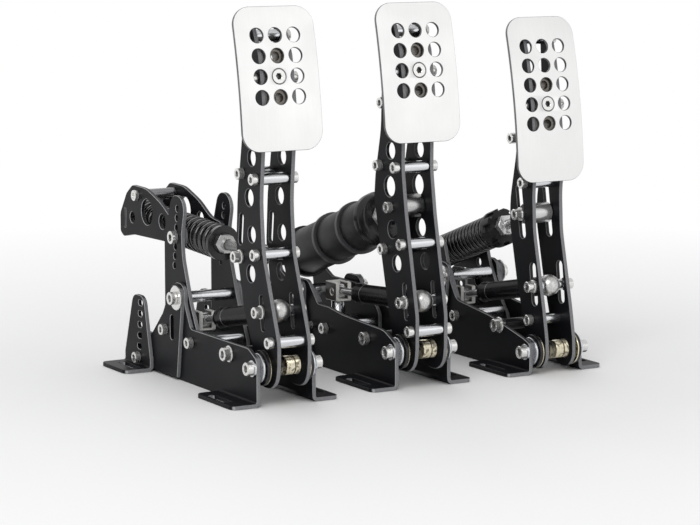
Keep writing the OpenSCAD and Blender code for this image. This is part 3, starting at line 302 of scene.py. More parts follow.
turned_black = satin_black("turned_black", TURNED, (0.26, 0.36), scale=1200.0, gloss=0.3)
spring_black = satin_black("spring_black", SPRING, (0.08, 0.14), scale=900.0, gloss=1.0)
rubber_black = satin_black("rubber_black", RUBBER, (0.36, 0.48), scale=700.0, gloss=0.3)
disc_black = satin_black("disc_black", DISC, (0.26, 0.36), scale=1200.0, gloss=0.4)
hole_coat = satin_black("hole_powder_coat", COAT, (0.3, 0.4), scale=PEEL_GRAIN, gloss=0.3)
print("finishes:", turned_black.name, spring_black.name, rubber_black.name, disc_black.name)

# %% [markdown]
# Bright metal lives from what it reflects, so its network is mostly roughness: a metallic
# shader, a near-white tint, and fine lines where the surface was brushed or turned. The
# lines come from a noise that is stretched many times over along one axis. Bolts and rods
# are a little less than fully metallic, because they stand among black plates and would
# otherwise mirror nothing but black.

# %% Bright metals
METAL_CLOUD = 30.0
WEAR_SPAN = (0.35, 0.65)
LINE_STRENGTH = 0.15
BOLT_LINES = (0.15, 1.0, 1.0)
TUBE_LINES = (0.05, 1.0, 1.0)
BLOCK_LINES = (0.1, 1.0, 1.0)
ROD_LINES = (1.0, 0.05, 1.0)
BOLT = ((0.70, 0.695, 0.68), (0.82, 0.815, 0.80))
# The socket tones are painted shade: a darker steel for the recess of a hex socket.
SOCKET_SHADE = ((0.12, 0.12, 0.12), (0.24, 0.238, 0.235))
DARK_ZINC = ((0.26, 0.26, 0.27), (0.36, 0.36, 0.37))
CARRIER = ((0.13, 0.12, 0.108), (0.23, 0.215, 0.195))
ZINC = ((0.66, 0.67, 0.69), (0.76, 0.77, 0.79))
ROD = ((0.60, 0.60, 0.60), (0.72, 0.72, 0.72))
BOLT_METAL = 0.8
ROD_METAL = 0.75


def bright_metal(name, tones, rough, stretch, scale, line_height, metal=1.0):
    finish, tree, shader = start_finish(name)
    lines = grain(tree, object_place(tree, stretch), scale, LINE_DETAIL, LINE_ROUGH)
    cloud = grain(tree, object_place(tree), METAL_CLOUD)
    half_lines = math_node(tree, "MULTIPLY", lines, 0.5)
    half_cloud = math_node(tree, "MULTIPLY", cloud, 0.5)
    wear = math_node(tree, "ADD", half_lines, half_cloud)
    tree.links.new(two_tone(tree, lines, tones), shader.inputs["Base Color"])
    tree.links.new(map_range(tree, wear, *WEAR_SPAN, *rough), shader.inputs["Roughness"])
    shader.inputs["Metallic"].default_value = metal
    bump(tree, shader, lines, LINE_STRENGTH, line_height)
    return finish


bolt_steel = bright_metal(
    "bolt_steel",
    BOLT,
    rough=(0.15, 0.24),
    stretch=BOLT_LINES,
    scale=1400.0,
    line_height=0.02 * MM,
    metal=BOLT_METAL,
)
socket_shade_steel = bright_metal(
    "socket_shade_steel",
    SOCKET_SHADE,
    rough=(0.35, 0.5),
    stretch=BOLT_LINES,
    scale=1400.0,
    line_height=0.02 * MM,
)
dark_zinc = bright_metal(
    "dark_zinc",
    DARK_ZINC,
    rough=(0.22, 0.32),
    stretch=TUBE_LINES,
    scale=1500.0,
    line_height=0.02 * MM,
)
carrier_steel = bright_metal(
    "carrier_steel",
    CARRIER,
    rough=(0.3, 0.42),
    stretch=BLOCK_LINES,
    scale=900.0,
    line_height=0.03 * MM,
)
bright_zinc = bright_metal(
    "bright_zinc",
    ZINC,
    rough=(0.16, 0.26),
    stretch=TUBE_LINES,
    scale=1500.0,
    line_height=0.02 * MM,
)
chrome_rod = bright_metal(
    "chrome_rod",
    ROD,
    rough=(0.16, 0.26),
    stretch=ROD_LINES,
    scale=1200.0,
    line_height=0.01 * MM,
    metal=ROD_METAL,
)
print("bright finishes made")

# %% [markdown]
# The foot plates are stainless sheet, brushed along their length. Their faces are almost white.
# The cut edges and the walls of the holes are duller, and their dark grey is painted shade on the
# thin faces and inside the holes; that dark rim is what makes the holes stand out. The plate
# therefore wears two finishes, and the cut faces get the second one when the plate is made.

# %% Brushed foot plates
PLATE = ((0.845, 0.845, 0.838), (0.885, 0.885, 0.878))
# The cut tones are painted shade for the plate's edges and the insides of its holes.
CUT_EDGE_SHADE = ((0.16, 0.16, 0.165), (0.26, 0.26, 0.265))
BRUSH_LINES = (1.0, 0.05, 0.02)
BRUSH_GRAIN = 2600.0
BRUSH_RELIEF = (0.05, 0.01 * MM)


def brushed_sheet(name, tones, rough):
    finish, tree, shader = start_finish(name)
    place = object_place(tree, BRUSH_LINES)
    lines = grain(tree, place, BRUSH_GRAIN, LINE_DETAIL, LINE_ROUGH)
    cloud = grain(tree, object_place(tree), METAL_CLOUD)
    tree.links.new(two_tone(tree, lines, tones), shader.inputs["Base Color"])
    tree.links.new(map_range(tree, cloud, *WEAR_SPAN, *rough), shader.inputs["Roughness"])
    shader.inputs["Metallic"].default_value = 1.0
    bump(tree, shader, lines, *BRUSH_RELIEF)
    return finish


brushed_plate = brushed_sheet("brushed_plate", PLATE, (0.3, 0.38))
plate_cut_edge_shade = brushed_sheet("plate_cut_edge_shade", CUT_EDGE_SHADE, (0.4, 0.5))
print("finishes:", brushed_plate.name, plate_cut_edge_shade.name)

# %% [markdown]
# The load cell blocks are pale aluminium, almost white on the front and top, with dark
# brown covers on their two sides. The side is found from the face direction. A faint
# speckle and a little roughness keep the pale faces from looking like plastic.

# %% Pale load cells
CELL = ((0.82, 0.81, 0.78), (0.9, 0.89, 0.86))
CELL_COVER = ((0.045, 0.041, 0.036), (0.08, 0.074, 0.066))
CELL_GRAIN = 900.0
CELL_ROUGH = (0.3, 0.42)
CELL_RELIEF = (0.1, 0.03 * MM)
COVER_TURN = (0.8, 0.9)


def pale_cell():
    finish, tree, shader = start_finish("pale_cell")
    speck = grain(tree, object_place(tree), CELL_GRAIN, FINE_DETAIL)
    sideways = math_node(tree, "ABSOLUTE", face_direction(tree)["X"])
    on_side = map_range(tree, sideways, *COVER_TURN)
    pale = two_tone(tree, speck, CELL)
    cover = two_tone(tree, speck, CELL_COVER)
    tree.links.new(blend_colour(tree, on_side, pale, cover), shader.inputs["Base Color"])
    tree.links.new(spread(tree, speck, *CELL_ROUGH), shader.inputs["Roughness"])
    bump(tree, shader, speck, *CELL_RELIEF)
    return finish


cell_coat = pale_cell()
print("finish:", cell_coat.name)

# %% [markdown]
# Some pieces are one node in the CAD model but two metals to the eye: a damper is a black
# tube with a bright eye, the strut cups are black with a bright nut in front, and the
# bases' spacers are black at the front and zinc behind. One shader does both. A share, 0
# for black and 1 for bright, is measured from the place on the piece, and colour, gloss and
# metal all blend by it.

# %% Two metals on one piece
TURNED_GRAIN = 1200.0
TURNED_ROUGH = (0.2, 0.3)
TURNED_RELIEF = (0.1, 0.02 * MM)
SHARP = 0.1 * MM


def two_metals(name, measure_share, bright_tones, bright_rough):
    finish, tree, shader = start_finish(name)
    place = object_place(tree)
    share = measure_share(tree, place)
    speck = grain(tree, place, TURNED_GRAIN, FINE_DETAIL)
    cloud = grain(tree, place, SATIN_CLOUD)
    black = two_tone(tree, speck, TURNED)
    bright = two_tone(tree, speck, bright_tones)
    tree.links.new(blend_colour(tree, share, black, bright), shader.inputs["Base Color"])
    tree.links.new(share, shader.inputs["Metallic"])
    gloss = spread(tree, cloud, *TURNED_ROUGH)
    extra = math_node(tree, "MULTIPLY", share, bright_rough)
    tree.links.new(math_node(tree, "ADD", gloss, extra), shader.inputs["Roughness"])
    bump(tree, shader, speck, *TURNED_RELIEF)
    return finish


def before(tree, value, limit):
    return map_range(tree, value, limit - SHARP, limit, 1.0, 0.0)


def past(tree, value, limit):
    return map_range(tree, value, limit - SHARP, limit)


def distance_from(tree, place, centre):
    node = add_node(tree, "ShaderNodeVectorMath", operation="DISTANCE")
    node.inputs[1].default_value = centre
    tree.links.new(place, node.inputs[0])
    return node.outputs["Value"]


def strut_axis(tilt):
    return Vector((0.0, math.cos(tilt), math.sin(tilt)))


def distance_along(tree, place, start, tilt):
    offset = add_node(tree, "ShaderNodeVectorMath", operation="SUBTRACT")
    offset.inputs[1].default_value = start
    tree.links.new(place, offset.inputs[0])
    along = add_node(tree, "ShaderNodeVectorMath", operation="DOT_PRODUCT")
    along.inputs[1].default_value = strut_axis(tilt)
    tree.links.new(offset.outputs["Vector"], along.inputs[0])
    return along.outputs["Value"]


print("two-metal tools ready")

# %% [markdown]
# Each strut runs from its front pivot in the arm, up or down at its own tilt. The places
# along it, such as the front of a cup, are distances from that pivot. A thin light line
# runs round each damper tube, at a fixed distance from its eye.

# %% Dampers, cups and spacers
DAMPER_EYES = (
    Vector((-121.0, -105.0, 68.0)) * MM,
    Vector((0.0, -106.5, 65.7)) * MM,
    Vector((121.0, -98.5, 67.3)) * MM,
)
EYE_R = 8.7 * MM
TUBE_RING_AT = 82.0 * MM
TUBE_RING_HALF = 0.3 * MM
TUBE_RING_SHARE = 0.5
CLUTCH_FRONT = Vector((-121.0, -72.5, 105.0)) * MM
CLUTCH_TILT = math.radians(2.322)
THROTTLE_FRONT = Vector((121.0, -79.6, 122.0)) * MM
THROTTLE_TILT = math.radians(-19.2)
BRAKE_FRONT = Vector((0.0, -84.6, 135.3)) * MM
BRAKE_TILT = math.radians(-18.961)
CLUTCH_CUP_FRONT = 53.0 * MM
BRAKE_CUP_FRONT = 36.0 * MM
FRONT_SPACERS_TO = -50.0 * MM
EYE = ((0.44, 0.44, 0.43), (0.84, 0.835, 0.82))
NUT = ((0.40, 0.40, 0.40), (0.55, 0.55, 0.54))


def damper_share(tree, place):
    nearest = distance_from(tree, place, DAMPER_EYES[0])
    for eye in DAMPER_EYES[1:]:
        nearest = math_node(tree, "MINIMUM", nearest, distance_from(tree, place, eye))
    in_eye = map_range(tree, nearest, EYE_R - SHARP, EYE_R + SHARP, 1.0, 0.0)
    from_ring = math_node(tree, "SUBTRACT", nearest, TUBE_RING_AT)
    from_ring = math_node(tree, "ABSOLUTE", from_ring)
    ring_edge = TUBE_RING_HALF + SHARP
    in_ring = map_range(tree, from_ring, TUBE_RING_HALF, ring_edge, TUBE_RING_SHARE, 0.0)
    return math_node(tree, "MAXIMUM", in_eye, in_ring)


def clutch_cup_share(tree, place):
    along = distance_along(tree, place, CLUTCH_FRONT, CLUTCH_TILT)
    return before(tree, along, CLUTCH_CUP_FRONT)


def brake_cup_share(tree, place):
    along = distance_along(tree, place, BRAKE_FRONT, BRAKE_TILT)
    return before(tree, along, BRAKE_CUP_FRONT)


def rear_spacer_share(tree, place):
    return past(tree, axes_of(tree, place)["Y"], FRONT_SPACERS_TO)


damper_finish = two_metals("damper_tube_and_eye", damper_share, EYE, bright_rough=0.12)
clutch_cup_finish = two_metals("clutch_cup_and_nut", clutch_cup_share, NUT, bright_rough=0.05)
brake_cup_finish = two_metals("brake_cup_and_barrel", brake_cup_share, NUT, bright_rough=0.0)
spacer_finish = two_metals("base_spacer_tubes", rear_spacer_share, ZINC, bright_rough=0.0)
two_metal_finishes = (damper_finish, clutch_cup_finish, brake_cup_finish, spacer_finish)
print("two-metal finishes:", [finish.name for finish in two_metal_finishes])

# %% [markdown]
# The pivot is a stack of rings on the axle: a thin bright washer at the wall, a wide black
# ring, and a thin gold one at the arm. The rings are one node in the CAD model, so the
# colour is chosen by the distance from the pedal's middle plane. The bronze bush between
# the arms gets its dark seam in the same way, and its oil marks from a noise.

# %% Rings and bush of the pivots
GOLD_TO = 16.7 * MM
BLACK_TO = 20.4 * MM
SEAM_AT = 6.9 * MM
SEAM_HALF = 0.45 * MM
GOLD = ((0.76, 0.67, 0.46), (0.92, 0.87, 0.72))
OIL = ((0.05, 0.045, 0.035), (0.12, 0.105, 0.08))
OIL_GRAIN = 300.0
OIL_SPAN = (0.53, 0.6)
OIL_SHARE = 0.75
BUSH_LINES = (1.0, 0.1, 0.1)
BUSH_GRAIN = 1500.0
BUSH_ROUGH = (0.24, 0.36)
BUSH_RELIEF = (0.15, 0.03 * MM)


def middle_distance(tree, place):
    across = axes_of(tree, place)["X"]
    gaps = []
    for middle in PEDAL_MIDDLES:
        gaps.append(math_node(tree, "ABSOLUTE", math_node(tree, "SUBTRACT", across, middle)))
    nearest = math_node(tree, "MINIMUM", gaps[0], gaps[1])
    return math_node(tree, "MINIMUM", nearest, gaps[2])


def pivot_ring_stack():
    finish, tree, shader = start_finish("pivot_ring_stack")
    place = object_place(tree)
    speck = grain(tree, place, TURNED_GRAIN, FINE_DETAIL)
    outwards = middle_distance(tree, place)
    past_gold = past(tree, outwards, GOLD_TO)
    past_black = past(tree, outwards, BLACK_TO)
    gold = two_tone(tree, speck, GOLD)
    black = two_tone(tree, speck, TURNED)
    zinc = two_tone(tree, speck, ZINC)
    inner = blend_colour(tree, past_gold, gold, black)
    tree.links.new(blend_colour(tree, past_black, inner, zinc), shader.inputs["Base Color"])
    in_gold = math_node(tree, "SUBTRACT", 1.0, past_gold)
    metal = math_node(tree, "MAXIMUM", in_gold, past_black)
    tree.links.new(metal, shader.inputs["Metallic"])
    tree.links.new(spread(tree, speck, *TURNED_ROUGH), shader.inputs["Roughness"])
    bump(tree, shader, speck, *TURNED_RELIEF)
    return finish


def oiled_bronze():
    finish, tree, shader = start_finish("oiled_bronze")
    place = object_place(tree)
    stretched = object_place(tree, BUSH_LINES)
    lines = grain(tree, stretched, BUSH_GRAIN, LINE_DETAIL, LINE_ROUGH)
    drops = grain(tree, place, OIL_GRAIN)
    marks = map_range(tree, drops, *OIL_SPAN, 0.0, OIL_SHARE)
    from_seam = math_node(tree, "SUBTRACT", middle_distance(tree, place), SEAM_AT)
    from_seam = math_node(tree, "ABSOLUTE", from_seam)
    seam = before(tree, from_seam, SEAM_HALF + SHARP)
    dark_share = math_node(tree, "MAXIMUM", seam, marks)
    gold = two_tone(tree, lines, GOLD)
    oil = two_tone(tree, lines, OIL)
    tree.links.new(blend_colour(tree, dark_share, gold, oil), shader.inputs["Base Color"])
    tree.links.new(spread(tree, lines, *BUSH_ROUGH), shader.inputs["Roughness"])
    shader.inputs["Metallic"].default_value = 1.0
    bump(tree, shader, lines, *BUSH_RELIEF)
    return finish


ring_finish = pivot_ring_stack()
bronze = oiled_bronze()
print("pivot finishes:", ring_finish.name, bronze.name)

# %% [markdown]
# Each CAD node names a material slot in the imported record. The slot tells which finish the
# node takes. Turned parts share a slot with the plates, and some nodes have two metals, so
# these are listed by name.

# %% Choose a finish for every CAD node
SLOT_FINISH = {
    "black_steel": base_coat,
    "stainless": brushed_plate,
    "bolt_steel": bolt_steel,
    "zinc": bright_zinc,
    "bronze": bronze,
    "chrome_rod": chrome_rod,
    "spring_steel": spring_black,
    "rubber": rubber_black,
    "damper_black": damper_finish,
    "cell": cell_coat,
}
NODE_FINISH = {
    "brake_strut_rear": turned_black,
    "throttle_strut_rear": turned_black,
    "brake_strut_front": brake_cup_finish,
    "brake_disc_front": disc_black,
    "brake_disc_rear": disc_black,
    "base_spacers": spacer_finish,
    "throttle_collar": turned_black,
    "clutch_spring_cup": clutch_cup_finish,
    "clutch_cradle_tie": dark_zinc,
    "pivot_washers": ring_finish,
}
for pedal in PEDALS:
    NODE_FINISH[pedal + "_arm_left"] = arm_coat
    NODE_FINISH[pedal + "_arm_right"] = arm_coat
    NODE_FINISH[pedal + "_carrier"] = carrier_steel


def wear_finish(piece, finish):
    piece.data.materials.clear()
    piece.data.materials.append(finish)


slot_of = {}
for part in frame["record"]["subparts"]:
    name = part["node"]
    slot_of[name] = part["material_slot"]
    wear_finish(nodes[name], NODE_FINISH.get(name, SLOT_FINISH[slot_of[name]]))
print("finished nodes:", len(slot_of))

# %% [markdown]
# No real edge is perfectly sharp. Sheet steel leaves the laser with a small burr that is
# brushed off, and bolts and turned parts have a chamfer, so every edge catches a thin line
# of light. Bevel cuts that chamfer on the sharp edges, which are marked with a weight.
# Where a bent foot ends, its curve runs into the wall at a cusp that no chamfer fits, so
# the edges there get no weight and stay sharp.

# %% Ease the edges: chamfers
EDGE_WIDTH = {
    "black_steel": 0.3 * MM,
    "bolt_steel": 0.4 * MM,
    "zinc": 0.3 * MM,
    "bronze": 0.3 * MM,
    "chrome_rod": 0.4 * MM,
    "damper_black": 0.5 * MM,
    "cell": 0.7 * MM,
}
BEVEL_ANGLE = math.radians(35)
FOOT_REAR = {"clutch": -56.5 * MM, "brake": -49.5 * MM, "throttle": -49.5 * MM}
MIDDLE_OF = dict(zip(PEDALS, PEDAL_MIDDLES))
CUSP_TOP = 4.6 * MM
BEND_FROM = 21.0 * MM
BEND_TO = 26.2 * MM
WEIGHT = "bevel_weight_edge"


def apply_modifier(piece, name, kind, **settings):
    modifier = piece.modifiers.new(name, kind)
    for key, value in settings.items():
        setattr(modifier, key, value)
    bpy.ops.object.modifier_apply(modifier=modifier.name)


def select_nothing(kind):
    bpy.ops.object.mode_set(mode="EDIT")
    bpy.ops.mesh.select_mode(type=kind)
    bpy.ops.mesh.select_all(action="DESELECT")
    bpy.ops.object.mode_set(mode="OBJECT")


def at_foot_cusp(name, point):
    if "_base_" not in name:
        return False
    pedal = name.split("_")[0]
    in_bend = BEND_FROM < abs(point.x - MIDDLE_OF[pedal]) < BEND_TO
    return in_bend and point.z < CUSP_TOP and abs(point.y - FOOT_REAR[pedal]) < SHARP


def chamfer_edges(piece, name):
    select_nothing("EDGE")
    bpy.ops.object.mode_set(mode="EDIT")
    bpy.ops.mesh.edges_select_sharp(sharpness=BEVEL_ANGLE)
    bpy.ops.object.mode_set(mode="OBJECT")
    points = piece.data.vertices
    weights = piece.data.attributes.new(WEIGHT, "FLOAT", "EDGE")
    for edge in piece.data.edges:
        at_cusp = any(at_foot_cusp(name, points[end].co) for end in edge.vertices)
        weights.data[edge.index].value = 1.0 if edge.select and not at_cusp else 0.0
    apply_modifier(
        piece,
        "chamfer",
        "BEVEL",
        limit_method="WEIGHT",
        width=EDGE_WIDTH[slot_of[name]],
        segments=1,
        use_clamp_overlap=False,
    )
    piece.data.attributes.remove(piece.data.attributes[WEIGHT])


print("chamfer widths:", EDGE_WIDTH)

# %% [markdown]
# Three details need faces of their own. The hex sockets of the bolts are sunk deeper and get a
# darker steel, painted shade for the recess: their floors are the only large faces with six
# corners. The walls of the holes in the sheets stay black: they are rings of faces that all look
# towards their own middle. The heads on the ends of the cradle's tie are bright, and its tube is
# not.

# %% Ease the edges: sockets, holes and heads
SOCKET_SIDES = 6
SOCKET_AREA = 13.0 * MM * MM
SOCKET_SINK = 1.2 * MM
SOCKET_OPENS = (Vector((-1, 0, 0)), Vector((1, 0, 0)), Vector((0, -1, 0)))
SOCKET_FACING = 0.9
WALL_SIDEWAYS = 0.5
HOLE_INSIDE = 0.5 * MM
TIE_HEAD_FROM = 18.0 * MM


def sink_sockets(piece):
    piece.data.materials.append(socket_shade_steel)
    for opens in SOCKET_OPENS:
        select_nothing("FACE")
        for face in piece.data.polygons:
            is_floor = len(face.vertices) == SOCKET_SIDES and face.area > SOCKET_AREA
            face.select = is_floor and face.normal.dot(opens) > SOCKET_FACING
        bpy.ops.object.mode_set(mode="EDIT")
        bpy.ops.transform.translate(value=-SOCKET_SINK * opens)
        # The sunk floor and its walls take the darker steel, painted shade in the recess.
        bpy.ops.mesh.select_more()
        piece.active_material_index = 1
        bpy.ops.object.material_slot_assign()
        bpy.ops.object.mode_set(mode="OBJECT")


def paint_faces(piece, faces, finish):
    piece.data.materials.append(finish)
    for face in faces:
        face.material_index = len(piece.data.materials) - 1


def groups_of_walls(piece):
    group_at = {}
    for face in piece.data.polygons:
        if abs(face.normal.x) > WALL_SIDEWAYS:
            continue
        near = {id(group_at[edge]): group_at[edge] for edge in face.edge_keys if edge in group_at}
        group = [face] + [member for other in near.values() for member in other]
        for member in group:
            for edge in member.edge_keys:
                group_at[edge] = group
    return {id(group): group for group in group_at.values()}.values()


def hole_walls(piece):
    walls = []
    for group in groups_of_walls(piece):
        middle = sum((face.center for face in group), Vector()) / len(group)
        if all((middle - face.center).dot(face.normal) > HOLE_INSIDE for face in group):
            walls += group
    return walls


def tie_heads(piece):
    middle = MIDDLE_OF["clutch"]
    return [face for face in piece.data.polygons if abs(face.center.x - middle) > TIE_HEAD_FROM]


print("detail tools ready")

# %% [markdown]
# The CAD solids have sharp edges, and a CAD mesh is never changed. Each rigid node is
# therefore copied. The copy's loose triangles are joined, flat areas are made one face
# again, and the tools above ease it. The copy then rides on the node's body and stands for
# the node. Pieces that are made anew further down are left out here.

# %% Ease the edges: make the copies
MADE_ANEW = ["clutch_spring", "throttle_spring", "brake_rubbers"]
MADE_ANEW += [pedal + "_plate" for pedal in PEDALS]
MADE_ANEW += [pedal + "_carrier" for pedal in PEDALS]
SMOOTH_ANGLE = math.radians(30)
FLAT_ANGLE = math.radians(0.1)
MERGE_WITHIN = 0.001 * MM
body_of_node = {}
for body, members in frame["record"]["behaviour"]["bodies"].items():
    for member in members:
        body_of_node[member] = body


def ease_edges(name):
    bpy.ops.object.select_all(action="DESELECT")
    nodes[name].select_set(True)
    bpy.context.view_layer.objects.active = nodes[name]
    bpy.ops.object.duplicate(linked=False)
    piece = bpy.context.active_object
    piece.name = name + "_eased"
    bpy.ops.object.parent_clear(type="CLEAR_KEEP_TRANSFORM")
    bpy.ops.object.mode_set(mode="EDIT")
    bpy.ops.mesh.select_all(action="SELECT")
    bpy.ops.mesh.remove_doubles(threshold=MERGE_WITHIN)
    bpy.ops.mesh.select_all(action="SELECT")
    bpy.ops.mesh.dissolve_limited(angle_limit=FLAT_ANGLE)
    bpy.ops.object.mode_set(mode="OBJECT")
    if slot_of[name] == "bolt_steel":
        sink_sockets(piece)
    chamfer_edges(piece, name)
    if piece.data.materials[0] in (arm_coat, base_coat):
        paint_faces(piece, hole_walls(piece), hole_coat)
    if name == "clutch_cradle_tie":
        paint_faces(piece, tie_heads(piece), bolt_steel)
    bpy.ops.object.shade_smooth_by_angle(angle=SMOOTH_ANGLE)
    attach(piece, body_of_node[name])
    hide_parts(name)
    return piece


eased = [ease_edges(name) for name in slot_of if name not in MADE_ANEW]
print("eased pieces:", len(eased), "faces", sum(len(piece.data.polygons) for piece in eased))

# %% [markdown]
# A foot plate is stainless sheet that is laser-cut flat and then rolled to a gentle curve.
# It is made in the same order: a plane with rounded corners gets the sheet's thickness, and
# a Boolean cuts all holes at once, with the screw's hole as a cone. In the flat state the
# front looks along -Y and the length runs along Z.

# %% Foot plates: cut the flat sheet
PLATE_THICK = 2.5 * MM
PLATE_CORNER_R = 14.0 * MM
PLATE_CORNER_STEPS = 12
HOLE_R = 5.5 * MM
HOLE_PITCH = 15.0 * MM
HOLE_SIDES = 48
SCREW_HOLE_FRONT_R = 5.8 * MM
QUARTER = math.radians(90)


def put_in_place(piece, place, tilt):
    piece.location = place
    piece.rotation_euler = (tilt, 0.0, 0.0)
    bpy.ops.object.transform_apply(location=True, rotation=True, scale=True)


def add_sheet(name, width, low, high):
    bpy.ops.object.select_all(action="DESELECT")
    bpy.ops.mesh.primitive_plane_add(size=1.0)
    sheet = bpy.context.active_object
    sheet.name = name
    sheet.scale = (width, high - low, 1.0)
    put_in_place(sheet, (0.0, 0.0, (low + high) / 2), QUARTER)
    bpy.ops.object.mode_set(mode="EDIT")
    bpy.ops.mesh.select_all(action="SELECT")
    bpy.ops.mesh.bevel(offset=PLATE_CORNER_R, segments=PLATE_CORNER_STEPS, affect="VERTICES")
    bpy.ops.object.mode_set(mode="OBJECT")
    apply_modifier(sheet, "thickness", "SOLIDIFY", thickness=PLATE_THICK, offset=-1.0)
    return sheet


def join_pieces(pieces):
    for piece in pieces:
        piece.select_set(True)
    bpy.ops.object.join()
    return bpy.context.active_object


def add_pins(across, heights, screw_at):
    bpy.ops.object.select_all(action="DESELECT")
    pins = []
    for x in across:
        for z in heights:
            front_r = SCREW_HOLE_FRONT_R if x == 0.0 and z == screw_at else HOLE_R
            back_r = front_r - PLATE_THICK if front_r > HOLE_R else HOLE_R
            slope = (front_r - back_r) / PLATE_THICK
            bpy.ops.mesh.primitive_cone_add(
                vertices=HOLE_SIDES,
                radius1=back_r - slope * PLATE_THICK / 2,
                radius2=front_r + slope * PLATE_THICK / 2,
                depth=2 * PLATE_THICK,
                location=(x, PLATE_THICK / 2, z),
                rotation=(QUARTER, 0.0, 0.0),
            )
            pins.append(bpy.context.active_object)
    return join_pieces(pins)


def cut_with(piece, cutter):
    bpy.ops.object.select_all(action="DESELECT")
    piece.select_set(True)
    bpy.context.view_layer.objects.active = piece
    apply_modifier(
        piece, "holes", "BOOLEAN", operation="DIFFERENCE", object=cutter, solver="EXACT"
    )
    bpy.data.objects.remove(cutter)


print("foot plate tools ready")

# %% [markdown]
# A Bevel breaks the edges of the cut sheet. The cut faces are those that do not look
# straight forwards or back, so they are picked by their direction while the sheet is flat.
# Only points can bend, so Bisect cuts the sheet into narrow strips before the Simple
# Deform modifier rolls it. The plate is then put on its arm.

# %% Foot plates: finish, roll and mount
PLATE_BEND_R = 484.0 * MM
PLATE_TILT = math.radians(11.1)
PLATE_RIM = 0.3 * MM
FLAT_FACING = 0.95
STRIP = 2.5 * MM
# pedal, middle of the hole grid, width, length, plate's middle below the grid's, hole rows,
# height of the screw on the grid
FOOT_PLATES = (
    ("clutch", (-121.0, -105.7, 246.6), 65.5, 105.0, 8.8, 4, -7.5),
    ("brake", (0.0, -100.9, 246.6), 65.5, 105.0, 8.8, 4, -7.5),
    ("throttle", (121.0, -92.2, 223.2), 61.0, 128.0, 10.8, 5, -15.0),
)


def break_edges(piece, segments):
    apply_modifier(
        piece,
        "rim",
        "BEVEL",
        limit_method="ANGLE",
        angle_limit=BEVEL_ANGLE,
        width=PLATE_RIM,
        segments=segments,
    )


def cut_strips(piece, low, high):
    bpy.ops.object.mode_set(mode="EDIT")
    for cut in range(1, int((high - low) / STRIP)):
        bpy.ops.mesh.select_all(action="SELECT")
        bpy.ops.mesh.bisect(plane_co=(0, 0, low + cut * STRIP), plane_no=(0, 0, 1))
    bpy.ops.object.mode_set(mode="OBJECT")


def along_arc(straight):
    return PLATE_BEND_R * math.asin(straight / PLATE_BEND_R)


def make_foot_plate(pedal, grid, width, length, drop, rows, screw_at):
    low = along_arc((-length / 2 - drop) * MM)
    high = along_arc((length / 2 - drop) * MM)
    plate = add_sheet(pedal + "_foot_plate", width * MM, low, high)
    heights = [(row - (rows - 1) / 2) * HOLE_PITCH for row in range(rows)]
    screw_row = min(heights, key=lambda height: abs(height - screw_at * MM))
    cut_with(plate, add_pins((-HOLE_PITCH, 0.0, HOLE_PITCH), heights, screw_row))
    break_edges(plate, segments=1)
    wear_finish(plate, brushed_plate)
    # The cut faces take the second finish, with its painted shade.
    cut_faces = [face for face in plate.data.polygons if abs(face.normal.y) < FLAT_FACING]
    paint_faces(plate, cut_faces, plate_cut_edge_shade)
    cut_strips(plate, low, high)
    turn = (high - low) / PLATE_BEND_R
    apply_modifier(
        plate, "roll", "SIMPLE_DEFORM", deform_method="BEND", deform_axis="X", angle=turn
    )
    put_in_place(plate, Vector(grid) * MM, -PLATE_TILT)
    bpy.ops.object.shade_smooth_by_angle(angle=SMOOTH_ANGLE)
    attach(plate, pedal + "_arm")
    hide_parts(pedal + "_plate")
    print(plate.name, "faces", len(plate.data.polygons))


for row in FOOT_PLATES:
    make_foot_plate(*row)

# %% [markdown]
# Behind each foot plate sits the carrier, a steel block between the arms that takes the
# plate's screw. It has a spare threaded hole above and below the screw, which show through
# the middle holes of the plate, so the plate can be set higher or lower.

# %% Carriers behind the foot plates
CARRIER_WIDE = 21.9 * MM
CARRIER_TALL = 44.0 * MM
CARRIER_DEEP = 11.0 * MM
CARRIER_FRONT = 3.3 * MM
THREAD_R = 3.3 * MM
THREAD_SIDES = 32


def make_carrier(pedal, grid, screw_at):
    bpy.ops.object.select_all(action="DESELECT")
    bpy.ops.mesh.primitive_cube_add(size=1.0)
    block = bpy.context.active_object
    block.name = pedal + "_carrier_block"
    block.scale = (CARRIER_WIDE, CARRIER_DEEP, CARRIER_TALL)
    put_in_place(block, (0.0, CARRIER_FRONT + CARRIER_DEEP / 2, screw_at), 0.0)
    bpy.ops.object.select_all(action="DESELECT")
    threads = []
    for step in (-HOLE_PITCH, 0.0, HOLE_PITCH):
        bpy.ops.mesh.primitive_cylinder_add(
            vertices=THREAD_SIDES,
            radius=THREAD_R,
            depth=4 * CARRIER_DEEP,
            location=(0.0, CARRIER_FRONT, screw_at + step),
            rotation=(QUARTER, 0.0, 0.0),
        )
        threads.append(bpy.context.active_object)
    cut_with(block, join_pieces(threads))
    break_edges(block, segments=2)
    put_in_place(block, Vector(grid) * MM, -PLATE_TILT)
    bpy.ops.object.shade_smooth_by_angle(angle=SMOOTH_ANGLE)
    wear_finish(block, carrier_steel)
    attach(block, pedal + "_arm")
    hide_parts(pedal + "_carrier")
    print(block.name, "faces", len(block.data.polygons))


for row in FOOT_PLATES:
    make_carrier(row[0], row[1], row[-1] * MM)

# %% [markdown]
# The two coil springs are the pieces a viewer looks at longest. A spring is a round wire swept
# along a helix. The wire's section is a small circle, the Screw modifier winds it, and two cuts
# grind the ends flat, as on a real compression spring. The spring is drawn along Y from zero and
# then put on its strut.

# %% Springs
WIRE_SIDES = 14
STEPS_PER_TURN = 40
SPRING_D = 27.0 * MM
SPRING_SMOOTH = math.radians(40)
# pedal, front pivot, tilt, start, end, wire, turns, body, share of length kept
SPRINGS = (
    ("clutch", CLUTCH_FRONT, CLUTCH_TILT, 59.0, 191.0, 4.0, 16, "clutch_spring_cradle", 0.886),
    ("throttle", THROTTLE_FRONT, THROTTLE_TILT, 60.0, 143.0, 2.6, 15, "bases", 0.663),
)


